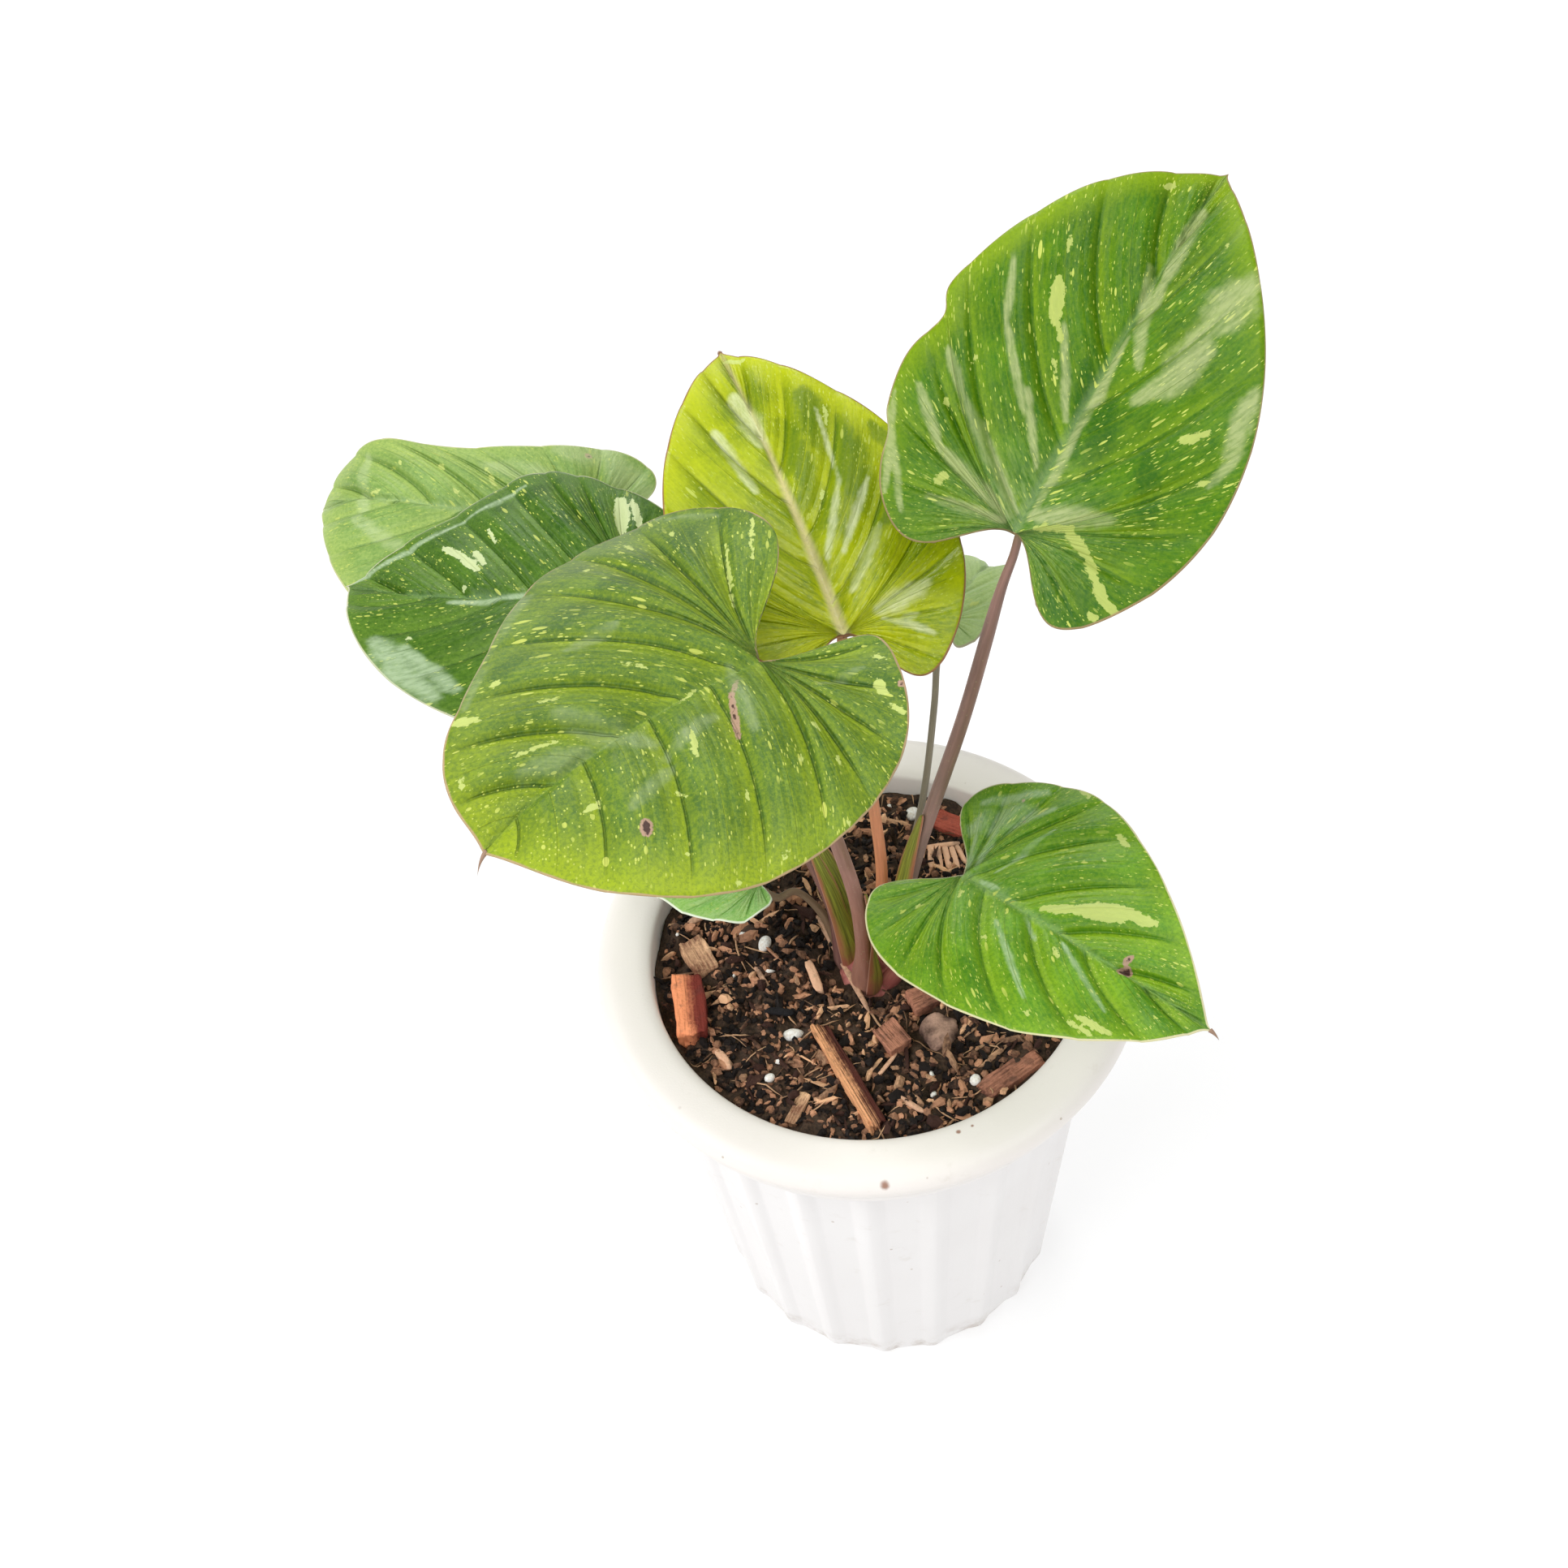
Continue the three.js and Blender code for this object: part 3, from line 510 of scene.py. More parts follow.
# %% [markdown]
# ## Soil
#
# The mix is dark damp coir with bark, fibres and white perlite. Its top could be thousands of
# loose grains, but most of them would never be seen, so it is one disc of points lifted by
# noise, and only the grains that lie on it are bodies. The disc's border goes down the pot's
# inner wall to its floor and closes there in one point.

# %% Soil surface
SOIL_LEVEL = 186.6
SOIL_RIM = 79.0
SOIL_LUMPS = 1.1
SOIL_RINGS = 150
SOIL_SPOKES = 340
SOIL_FOOT_SHARE = 0.776
CROWN_AT = np.array([1.0, -1.2])


def soil_height(x, y):
    """Broad waves as in the solid, crumbled noise on top, and a fall of a millimetre at the wall."""
    broad = np.sin(0.21 * x + 0.6) * np.cos(0.19 * y - 0.4) + 0.6 * np.sin(0.43 * x - 0.37 * y)
    flat = np.stack([x, y, np.zeros_like(x)], -1)
    crumbs = 2.0 * rough(flat, 9.0, 4, seed=11) + 0.7 * np.abs(rough(flat, 2.6, 2, seed=23))
    edge_fall = ease(70.0, SOIL_RIM, np.hypot(x, y))
    return SOIL_LEVEL + SOIL_LUMPS * broad + crumbs - 1.2 * edge_fall


ring = np.sqrt(np.linspace(0, 1, SOIL_RINGS))[:, None] * SOIL_RIM
spoke = np.arange(SOIL_SPOKES)[None, :] * 2 * np.pi / SOIL_SPOKES
soil_x, soil_y = ring * np.cos(spoke), ring * np.sin(spoke)
soil_z = soil_height(soil_x, soil_y)
soil_top = np.stack([soil_x, soil_y, soil_z], -1)
soil_low = np.array([0, 0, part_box("soil")[0][2] / MM])
soil_foot = soil_top[-1] * [SOIL_FOOT_SHARE, SOIL_FOOT_SHARE, 0] + soil_low
soil_points = np.concatenate([soil_top, [soil_foot, soil_top[-1] * 0 + soil_low]])
soil_layers = {"tone": np.full((len(soil_points) * SOIL_SPOKES, 2), 0.5)}
soil_faces = sheet_faces(len(soil_points), SOIL_SPOKES, closed=True, flip=True)
print("soil from", soil_z.min().round(1), "to", soil_z.max().round(1))

# %% [markdown]
# Everything in the pot is some brown, from near black where it is wet to straw, and no two
# bits are the same. One function therefore makes all these finishes from a dark and a light
# colour. Each bit carries two random numbers in the UV map `tone`: they and two sizes of noise
# add up to its share of the light colour. Ridges follow the second number, which runs across
# the grain on bark. Wet places are darker and smoother.

# %% Soil finish
def earth_finish(name, dark, light, spread=0.5, ridged=0.0, middle=0.0, skew=0.0):
    """Broken organic matter: each bit's random tone picks a colour, and noise roughens it."""
    finish = Finish(name, IOR=1.4)
    tone, shade = finish.layer("tone")
    point = finish.place()
    grain = finish.noise(point, 1.1, 4.0, 0.6)
    broad = finish.noise(point, 6.0, 3.0)
    share = tone * spread + grain * 0.5 + broad * 0.35 + (shade - 0.5) * skew - 0.2 - middle
    ridges = finish.noise(finish.vector(shade * 9, tone * 2.5), 1.0, 2.0) * ridged
    colour = finish.mix(finish.step(share + ridges * 0.8, 0.1, 0.9), dark, light)
    damp = finish.step(broad, 0.55, 0.7)
    return finish.set(
        Base_Color=finish.mix(damp * 0.45, colour, scaled(dark, 0.45)),
        Roughness=0.9 - damp * 0.35,
        Normal=finish.bump(grain + ridges * 2.0, 0.6),
    )


soil_material = earth_finish(
    "potting_mix", (0.006, 0.005, 0.004), (0.20, 0.115, 0.07), spread=0.6, middle=0.15)
soil_flat = soil_points.reshape(-1, 3)
make_piece("soil_surface", soil_flat, soil_faces, soil_layers, soil_material, "potting_mix", ["soil"])

# %% [markdown]
# Nine large bits and five perlite grains stand out in the photograph, each in its own place.
# Their places come first, because the small bits must not cover them.

# %% Chips and their places
# at: x and y on the soil; turn: degrees about the vertical; size: length, width and height.
CHIPS = {
    "bark_red": {"at": (-66.5, -16), "turn": -87, "size": (25, 11, 9), "slot": "bark_red"},
    "bark_tan": {"at": (-63, 7), "turn": -66, "size": (16, 9, 6), "slot": "bark_tan"},
    "bark_split": {"at": (-11, -50), "turn": -67, "size": (45, 6.5, 5), "slot": "bark_tan"},
    "bark_middle": {"at": (20, -19.5), "turn": 22, "size": (13, 9, 6), "slot": "bark_dark"},
    "bark_front": {"at": (6, -35), "turn": -58, "size": (11, 9, 6.5), "slot": "bark_dark"},
    "bark_rim": {"at": (46, -54), "turn": 34, "size": (25, 8, 4.5), "slot": "bark_dark"},
    "bark_back": {"at": (36, 59), "turn": -31, "size": (16, 8, 4), "slot": "bark_red"},
    "bark_pale": {"at": (-30, -61.5), "turn": 63, "size": (13, 4.5, 3.5), "slot": "bark_tan"},
    "clod": {"at": (23, -34), "turn": 10, "size": (16, 13, 10), "slot": "clod"},
    "perlite_left": {"at": (-38, 11), "turn": 70, "size": (6.5, 5, 5), "slot": "perlite"},
    "perlite_middle": {"at": (-30, -29), "turn": 5, "size": (7.5, 4.5, 4.5), "slot": "perlite"},
    "perlite_front": {"at": (-39, -48), "turn": 30, "size": (4, 3.5, 3.5), "slot": "perlite"},
    "perlite_right": {"at": (34, -55), "turn": 80, "size": (4.5, 4, 4), "slot": "perlite"},
    "perlite_back": {"at": (21, 66), "turn": 40, "size": (5.5, 4.5, 4.5), "slot": "perlite"},
}
print("chips:", len(CHIPS))

# %% [markdown]
# A crumb is a rough ball with a few faces, and a sliver is the same ball drawn out. `scatter`
# takes the ball's corners once, multiplies them by each copy's own turn and size, and adds
# each copy's place on the soil: three array operations make all the copies. Crumbs get flat
# faces, because they are broken and not worn.

# %% Scattered bits
CHIP_CLEARANCE = 0.6


def pebble(rows=5, columns=6):
    """A ball from rows of latitude, closed at both poles."""
    latitude = np.linspace(0, np.pi, rows)[:, None]
    longitude = np.arange(columns)[None, :] * 2 * np.pi / columns
    ball = np.stack(np.broadcast_arrays(
        np.sin(latitude) * np.cos(longitude), np.sin(latitude) * np.sin(longitude), np.cos(latitude)
    ), -1) / 2
    return ball.reshape(-1, 3), sheet_faces(rows, columns, closed=True, flip=True)


def turns(yaw, tilt, spin):
    """A rotation matrix for each copy: spin about X, tilt about Y, yaw about Z."""
    zero, one = np.zeros_like(yaw), np.ones_like(yaw)
    def about(axis, a):
        c, s = np.cos(a), np.sin(a)
        rows = {"x": [one, zero, zero, zero, c, -s, zero, s, c],
                "y": [c, zero, s, zero, one, zero, -s, zero, c],
                "z": [c, -s, zero, s, c, zero, zero, zero, one]}[axis]
        return np.stack(rows, -1).reshape(-1, 3, 3)
    return about("z", yaw) @ about("y", tilt) @ about("x", spin)


def scatter(count, size_low, size_high, seed, sink=0.25, tilt=0.5, keep_off=16.0):
    """Copies of a pebble on the soil, clear of the crown and the chips, with random sizes
    between two triples, most of them small. A place's radius is the root of an even random
    number, so that the places are even over the disc."""
    draw = np.random.default_rng(seed)
    reach = (SOIL_RIM - 3.0) * np.sqrt(draw.uniform(0, 1, count))
    way = draw.uniform(0, 2 * np.pi, count)
    x, y = reach * np.cos(way), reach * np.sin(way)
    clear = np.hypot(x - CROWN_AT[0], y - CROWN_AT[1]) > keep_off
    for chip in CHIPS.values():
        c, s = np.cos(np.radians(chip["turn"])), np.sin(np.radians(chip["turn"]))
        dx, dy = x - chip["at"][0], y - chip["at"][1]
        along, across = (c * dx + s * dy) / chip["size"][0], (c * dy - s * dx) / chip["size"][1]
        clear &= np.hypot(along, across) > CHIP_CLEARANCE
    x, y = x[clear], y[clear]
    count = len(x)
    size = draw.uniform(0, 1, (count, 3)) ** 1.6 * (np.array(size_high) - size_low) + size_low
    heading = draw.uniform(0, 2 * np.pi, count)
    lean = draw.normal(0, tilt, count)
    turn = turns(heading, lean, draw.uniform(0, 6.3, count))
    ball, faces = pebble()
    corners = ball[None] * (1 + 0.3 * draw.uniform(-1, 1, (count, len(ball), 1)))
    poles = np.abs(ball[:, 2]) > 0.49
    corners[:, poles] = ball[poles]
    corners = (corners * size[:, None]) @ turn.transpose(0, 2, 1)
    rise = soil_height(x, y) + size[:, 2] * (0.5 - sink)
    corners += np.stack([x, y, rise], -1)[:, None]
    all_faces = (faces[None] + (np.arange(count) * len(ball))[:, None, None]).reshape(-1, 3)
    tone = np.repeat(draw.uniform(0, 1, (count, 2)), len(ball), axis=0)
    return corners.reshape(-1, 3), all_faces, {"tone": tone}


crumbs = join([
    scatter(3500, (1.0, 0.9, 0.8), (5.0, 4.0, 3.6), seed=1),
    scatter(600, (2.5, 1.6, 1.2), (10.0, 5.4, 4.0), seed=2),
])
crumb_material = earth_finish(
    "crumbs", (0.010, 0.006, 0.005), (0.66, 0.33, 0.19), spread=1.25, middle=0.66)
make_piece("soil_crumbs", *crumbs, crumb_material, "potting_mix", smooth=False)

slivers = join([
    scatter(200, (3.0, 0.9, 0.7), (16.0, 3.0, 1.8), seed=3, sink=-0.3, tilt=0.2),
    scatter(120, (3.0, 2.0, 1.4), (10.0, 6.0, 4.0), seed=4, sink=-0.1, tilt=0.3),
])
sliver_material = earth_finish(
    "slivers", (0.05, 0.02, 0.014), (0.90, 0.52, 0.30), spread=1.6, middle=0.6)
make_piece("soil_slivers", *slivers, sliver_material, "bark_tan", smooth=False)

# %% [markdown]
# Some scraps of wood and husk are long enough to be known one by one: a fan of pale husk at
# the back, a straw by the crown, a black curl at the left. Each is the same pebble with more
# faces, squared a little, roughened, and laid from one given place to another.

# %% Scraps
def placed(ends, widths, tones, seed):
    """Drawn-out pebbles that run from one given place on the soil to another, a little above
    the highest of three soil heights under them."""
    ends, widths = np.array(ends, float), np.array(widths, float)
    middle, along = (ends[:, :2] + ends[:, 2:]) / 2, ends[:, 2:] - ends[:, :2]
    ball, faces = pebble(15, 12)
    full = np.sign(ball) * np.abs(2 * ball) ** 0.65 / 2
    size = np.stack([np.hypot(*along.T), widths, 0.7 * widths], -1)
    sized = full[None] * size[:, None]
    sized = sized * (1 + 0.25 * rough(sized * [0.3, 1, 1], 2.0, 3, seed))[..., None]
    flat = np.zeros(len(ends))
    corners = sized @ turns(np.arctan2(along[:, 1], along[:, 0]), flat, flat).transpose(0, 2, 1)
    under = [soil_height(*(middle + share * along).T) for share in (-0.4, 0.0, 0.4)]
    rise = np.max(under, axis=0) + 0.3 * widths
    corners += np.stack([*middle.T, rise], -1)[:, None]
    all_faces = (faces[None] + (np.arange(len(ends)) * len(ball))[:, None, None]).reshape(-1, 3)
    tone = np.repeat(np.stack([tones, widths / 9], -1), len(ball), axis=0)
    return corners.reshape(-1, 3), all_faces, {"tone": tone}


# Each scrap: from x, y to x, y on the soil, then its width and its tone.
SCRAPS = np.array([
    [-19, 24, -3, -19, 2.4, 0.55], [-2, -52, 7, -41, 1.5, 0.75], [4, -58, 15, -67, 2.2, 0.6],
    [-40, -19, -29, -21, 3.0, 0.0], [-23, 1, -19, -14, 3.6, 0.8], [24, 50, 22, 41, 2.2, 0.95],
    [26.5, 50, 26, 39, 2.4, 0.85], [29, 50, 29.5, 37.5, 2.4, 0.95], [31.5, 49, 33, 36.5, 2.4, 0.85],
    [34, 48, 36, 37, 2.2, 0.95], [36, 49, 39, 40, 2.0, 0.85], [22, 49, 38, 50, 2.2, 0.8],
    [-58, -33, -53, -41, 3.4, 0.7], [-66, 22, -58, 27, 3.0, 0.5], [-37, -10, -42, 1, 2.0, 0.5],
])
scraps = placed(SCRAPS[:, :4], SCRAPS[:, 4], SCRAPS[:, 5], seed=31)
scrap_material = earth_finish(
    "scraps", (0.012, 0.011, 0.013), (0.88, 0.52, 0.34), spread=1.1, middle=0.2)
make_piece("soil_scraps", *scraps, scrap_material, "bark_tan")

# %% [markdown]
# Perlite is blown glass: white, dull, light and full of pits. Small grains are scattered like
# the crumbs, and the same finish goes on the five large ones later.

# %% Small perlite
grains = scatter(34, (1.4, 1.2, 1.0), (4.4, 3.4, 3.0), seed=5, sink=0.1)
grain_finish = Finish("perlite", IOR=1.3)
grain_point = grain_finish.place()
grain_pits = grain_finish.noise(grain_point, 0.9, 4.0)
grain_share = grain_finish.step(grain_pits, 0.3, 0.62)
perlite_material = grain_finish.set(
    Base_Color=grain_finish.mix(grain_share, (0.80, 0.74, 0.66), (0.97, 0.96, 0.93)),
    Roughness=0.85 + grain_pits * 0.1,
    Normal=grain_finish.bump(grain_pits, 0.4),
)
make_piece("soil_grains", *grains, perlite_material, "perlite")

# %% [markdown]
# Fibres are thin, bent and mostly pale. Each one is a short tube with three sides whose
# middle line is part of a circle, lying nearly flat. Again all of them are one array.

# %% Fibres
FIBRE_RINGS = 7
FIBRE_SIDES = 3
FIBRE_POINTS = FIBRE_RINGS * FIBRE_SIDES


def fibres(count, seed):
    """Bent three-sided tubes: a circle's arc for the middle line, thinning to both ends."""
    draw = np.random.default_rng(seed)
    reach = (SOIL_RIM - 8.0) * np.sqrt(draw.uniform(0, 1, count))
    way, yaw = draw.uniform(0, 2 * np.pi, (2, count))
    x, y = reach * np.cos(way), reach * np.sin(way)
    clear = np.hypot(x - CROWN_AT[0], y - CROWN_AT[1]) > 18
    x, y, yaw = x[clear], y[clear], yaw[clear]
    count = len(x)
    length = draw.uniform(5, 22, count)
    bend = draw.normal(0, 0.9, count)
    rise = draw.uniform(0.0, 0.9, count)
    thick = draw.uniform(0.18, 0.5, count)
    share = np.linspace(-0.5, 0.5, FIBRE_RINGS)
    heading = yaw[:, None] + bend[:, None] * share
    step = length[:, None] / (FIBRE_RINGS - 1)
    line_x = x[:, None] + np.cumsum(np.cos(heading), 1) * step
    line_y = y[:, None] + np.cumsum(np.sin(heading), 1) * step
    inside = np.minimum(1, (SOIL_RIM - 2) / np.maximum(np.hypot(line_x, line_y), 1))
    line_x, line_y = line_x * inside, line_y * inside
    line_z = soil_height(line_x, line_y) + 0.5 + rise[:, None] * 4 * (0.25 - share**2) + rise[:, None]
    taper = thick[:, None] * np.sqrt(1.02 - (2 * share) ** 2)
    around = np.arange(FIBRE_SIDES) * 2 * np.pi / FIBRE_SIDES
    out = taper[:, :, None] * np.cos(around)
    lift = taper[:, :, None] * np.sin(around)
    points = np.stack([
        line_x[:, :, None] - np.sin(heading)[:, :, None] * out,
        line_y[:, :, None] + np.cos(heading)[:, :, None] * out,
        line_z[:, :, None] + lift,
    ], -1)
    first, last = [0, 2, 1], [FIBRE_POINTS - 1, FIBRE_POINTS - 3, FIBRE_POINTS - 2]
    faces = np.concatenate([sheet_faces(FIBRE_RINGS, FIBRE_SIDES, closed=True), [first, last]])
    all_faces = (faces[None] + (np.arange(count) * FIBRE_POINTS)[:, None, None]).reshape(-1, 3)
    tone = np.repeat(draw.uniform(0, 1, (count, 2)), FIBRE_POINTS, axis=0)
    return points.reshape(-1, 3), all_faces, {"tone": tone}


fibre_material = earth_finish("coir_fibres", (0.08, 0.035, 0.02), (0.70, 0.42, 0.24), spread=0.9)
make_piece("soil_fibres", *fibres(150, seed=6), fibre_material, "bark_tan")

# %% [markdown]
# ## Bark, clod and perlite that stand out
#
# Bark breaks along its grain into blocks with soft corners. A box with bevels would look
# sawn, so a chip is a ball whose corners are pushed outwards until it is nearly a box, then
# chipped by noise that is drawn out along the grain. The clod and the perlite stay rounder.
# Two pieces of bark have a finish of their own, and the rest take the one of their slot.

# %% Chips
CHIP_SEAT = 0.4
# How boxy each kind is (1 is a ball, 0 a box), and how lumpy.
CHIP_FORMS = {"bark": (0.5, 0.12), "clod": (0.85, 0.26), "perlite": (1.0, 0.08)}


def chip_shape(at, turn, size, seed, boxy, lumps):
    """A ball raised to a power so that it turns boxy, roughened along its grain, and seated."""
    ball, faces = pebble(26, 44)
    unit = 2 * ball
    shape = np.sign(unit) * np.abs(unit) ** boxy
    flat_from = 0.72 if boxy < 0.6 else 1.0
    shape = shape / np.maximum(np.abs(shape).max(-1, keepdims=True), flat_from) * 0.5
    sized = shape * np.array(size)
    grain = rough(sized * np.array([0.12, 1, 1]), 2.4, 4, seed)
    coarse = rough(sized, 7.0, 2, seed + 9)
    sized = sized * (1 + 0.10 * grain[:, None] + lumps * coarse[:, None])
    c, s = np.cos(np.radians(turn)), np.sin(np.radians(turn))
    x, y = sized[:, 0] * c - sized[:, 1] * s, sized[:, 0] * s + sized[:, 1] * c
    base = soil_height(np.array([at[0]]), np.array([at[1]]))[0]
    z = sized[:, 2] + base + size[2] * (0.5 - CHIP_SEAT)
    tone = np.stack([0.5 + 0.5 * coarse, sized[:, 1] / size[1] + 0.5], -1)
    return np.stack([x + at[0], y + at[1], z], -1), faces, {"tone": tone}


# Each finish: the dark and the light colour, then spread, ridged, middle and skew.
CHIP_EARTHS = {
    "bark_red": ((0.20, 0.03, 0.02), (1.0, 0.36, 0.17), 0.4, 0.8, 0.25, -1.6),
    "bark_tan": ((0.22, 0.09, 0.05), (1.0, 0.62, 0.36), 0.5, 1.0, 0.35),
    "bark_dark": ((0.08, 0.03, 0.02), (0.62, 0.27, 0.17), 0.5, 1.0, 0.35),
    "clod": ((0.045, 0.022, 0.018), (0.58, 0.36, 0.27), 0.8, 0.3, 0.25),
    "bark_split": ((0.09, 0.02, 0.012), (0.94, 0.45, 0.22), 0.3, 1.9, 0.72, -1.2),
    "bark_back": ((0.10, 0.016, 0.012), (0.50, 0.11, 0.07), 0.5, 0.8, 0.2),
}
chip_materials = {name: earth_finish(name, *values) for name, values in CHIP_EARTHS.items()}
chip_materials["perlite"] = perlite_material
for number, (name, chip) in enumerate(CHIPS.items()):
    boxy, lumps = CHIP_FORMS["clod" if name == "clod" else chip["slot"].split("_")[0]]
    shape = chip_shape(chip["at"], chip["turn"], chip["size"], number * 7, boxy, lumps)
    material = chip_materials.get(name, chip_materials[chip["slot"]])
    make_piece(name + "_piece", *shape, material, chip["slot"], [name])

# %% [markdown]
# ## Blades
#
# A blade is a heart with a thick midrib and about nine side veins on each half. No two leaves
# of a plant are alike. One blade could be modelled and copied eight times, but each stands in
# its own place in the photograph, with its own outline and bends, so each has its own values,
# and only the formulas are shared.

# %% Leaves
# at: the stalk's joint in millimetres. heading, pitch and roll: the midrib's direction at the
# joint. droop, hook and sweep: how far the midrib turns down, down near the tip, and sideways.
# fold and curl: how far a half rises, then bends down. egg, full, shift and taper shape the
# outline, sinus is the notch's width, and notches are dents. Angles are in degrees, and pairs
# are for the left and the right half.
LEAVES = {
    "tall_right": dict(
        at=(57.5, 28.5, 381.5), heading=51, pitch=28, roll=2, droop=15, hook=19, sweep=5, twist=4,
        fold=13, curl=(17, 18), length=147, half_width=(70, 59), lobe=(29, 34), egg=(0.09, 0.27),
        full=(0.02, -0.1), shift=(3, -1), sinus=17, taper=49, veins=9,
        notches=([(92, 5.5, 9), (122, 3, 9)], [])),
    "young_middle": dict(
        at=(0.5, 17, 352), heading=105, pitch=13, roll=3, droop=12, hook=7, sweep=1, twist=-1,
        fold=12, curl=(14, 14), length=128, half_width=(50, 51), lobe=(15, 31), egg=(0.18, 0.14),
        full=(0, -0.07), shift=(-1, 0), sinus=14, taper=49, veins=9),
    "broad_front": dict(
        at=(-26, -20.5, 387), heading=216, pitch=14, roll=1, droop=11, hook=19, sweep=9, twist=-5,
        fold=18, curl=(38, 50), length=110, half_width=(78, 84), lobe=(36, 44), egg=(-0.1, 0.62),
        full=(0.06, 0.25), shift=(-6, 14), sinus=9, taper=9, lobe_rise=0.8, veins=9),
    "low_right": dict(
        at=(34.5, -17, 260.5), heading=-51, pitch=15, roll=3, droop=22, hook=1, sweep=10, twist=3,
        fold=14, curl=(15, 15), length=106, half_width=(50, 55), lobe=(29, 24), egg=(0.28, 0.12),
        full=(-0.06, 0.03), shift=(-2, 0), sinus=15, taper=48, veins=9),
    "left": dict(
        at=(-69, 60, 335), heading=189, pitch=6, roll=0, droop=28, hook=-3, sweep=-48, twist=-6,
        fold=10, curl=(28, 28), length=110, half_width=(59, 62), lobe=(31, 32), egg=(0.24, 0.08),
        full=(-0.07, -0.16), shift=(1, 6), sinus=15, taper=50, veins=9),
    "far_left": dict(
        at=(-87.5, 116.5, 299), heading=166, pitch=15, roll=-8, droop=34, hook=30, sweep=-11, twist=-9,
        fold=11, curl=(29, 25), length=116, half_width=(61, 54), lobe=(30, 26), egg=(0.19, 0.15),
        full=(-0.11, 0.47), shift=(2, 11), sinus=15, taper=48, veins=9),
    "small_behind": dict(
        at=(36, 65.5, 298.5), heading=68, pitch=-20, roll=1, droop=14, hook=30, sweep=-1, twist=0,
        fold=13, curl=(9, 6), length=72, half_width=(32, 20), lobe=(22, 22), egg=(0.19, 0.23),
        full=(0, 0.09), shift=(0, -5), sinus=15, taper=50, veins=6),
    "small_low": dict(
        at=(-36.5, 15, 222), heading=165, pitch=-10, roll=6, droop=8, hook=11, sweep=-1, twist=0,
        fold=14, curl=(8, 8), length=46, half_width=(27, 28), lobe=(10, 15), egg=(0.22, 0.18),
        full=(0.01, 0), shift=(-4, 0), sinus=15, taper=50, veins=6),
}
print("leaves:", ", ".join(LEAVES))

# %% [markdown]
# The side veins leave the midrib, or the stalk's end in the two back lobes, and arch towards
# the margin. So the natural grid for a blade is its own veins: `t` runs round the outline from
# the tip to the notch, and `s` runs out along a vein from the midrib to the margin. Whatever
# is drawn along `s` later, relief or colour, then follows the veins by itself.

# %% Outline and veins
TIP_SPIKE = 2.0
TIP_SPIKE_WIDTH = 0.12
NOTCH_SCALE = 0.6
VEIN_START = np.radians(86)
VEIN_CROWDING = 1.15
VEIN_ARCH = (0.35, 0.62)
LOBE_ARCH = (0.55, 0.52)


def outline(leaf, angle, k):
    """The flat margin of one half, a stretched circle with a lobe, a notch and a drawn-out tip."""
    half, lobe = leaf["half_width"][k], leaf["lobe"][k]
    notch = lobe * np.exp(-(((np.pi - angle) / np.radians(leaf["sinus"])) ** 2))
    spike = TIP_SPIKE * np.exp(-((angle / TIP_SPIKE_WIDTH) ** 2))
    u = (leaf["length"] - lobe) / 2 + (leaf["length"] + lobe) / 2 * np.cos(angle) + notch + spike
    swell = 1 - leaf["egg"][k] * np.cos(angle) + leaf["full"][k] * np.cos(2 * angle)
    taper = angle / np.radians(leaf["taper"])
    v = half * np.sin(angle) * swell * taper / np.sqrt(1 + taper**2)
    for at, depth, width in leaf.get("notches", ([], []))[k]:
        past = (angle - np.radians(at)) / np.radians(width)
        v = v - depth * np.exp(-past * past) * (1 + np.tanh(3 * past)) * NOTCH_SCALE
    return np.stack([u + leaf["shift"][k] * np.sin(angle) ** 2, v], -1)


def vein_points(leaf, t, s, k):
    """Flat points on the veins: each vein is a curve from the midrib, over a bend, to the margin."""
    last = np.pi - np.radians(leaf["sinus"])
    angle = t * last
    tip = leaf["length"] + TIP_SPIKE
    root = tip * np.clip(1 - angle / VEIN_START, 0, 1) ** VEIN_CROWDING
    end = outline(leaf, angle, k)
    back = ease(VEIN_START, last, angle)
    linear = np.clip((angle - VEIN_START) / (last - VEIN_START), 0, 1)
    forth = VEIN_ARCH[0] + (LOBE_ARCH[0] - VEIN_ARCH[0]) * linear
    out = VEIN_ARCH[1] + (LOBE_ARCH[1] - VEIN_ARCH[1]) * linear
    a, b, c = (1 - s) ** 2, 2 * s * (1 - s), s * s
    vein_u = a * root + b * (root + forth * (end[..., 0] - root)) + c * end[..., 0]
    vein_v = b * out * end[..., 1] + c * end[..., 1]
    notch_edge = outline(leaf, np.pi - s * (np.pi - last), k)
    shifted = notch_edge + s[..., None] * (end - outline(leaf, np.full_like(angle, last), k))
    u = (1 - back) * vein_u + back * shifted[..., 0]
    v = (1 - back) * vein_v + back * shifted[..., 1]
    return np.where(s == 0, root, u), np.where(s == 0, 0, v)


for name, leaf in LEAVES.items():
    halves = [outline(leaf, np.linspace(0, np.pi, 200), k) for k in (0, 1)]
    lengthwise = np.ptp([half[:, 0] for half in halves]).round()
    crosswise = sum(half[:, 1].max() for half in halves).round()
    print(name, "is", lengthwise, "mm long with its lobes and", crosswise, "mm wide")

# %% [markdown]
# The flat heart is bent in three steps: across, each half rises from the midrib and curls
# down; along, the midrib droops and swings; and the blade twists a little about it. A lattice
# or a curve modifier could bend it too, but a formula keeps the midrib's joint in its place.

# %% Bends
LOBE_RISE = -0.115
MIDRIB_STEPS = 24


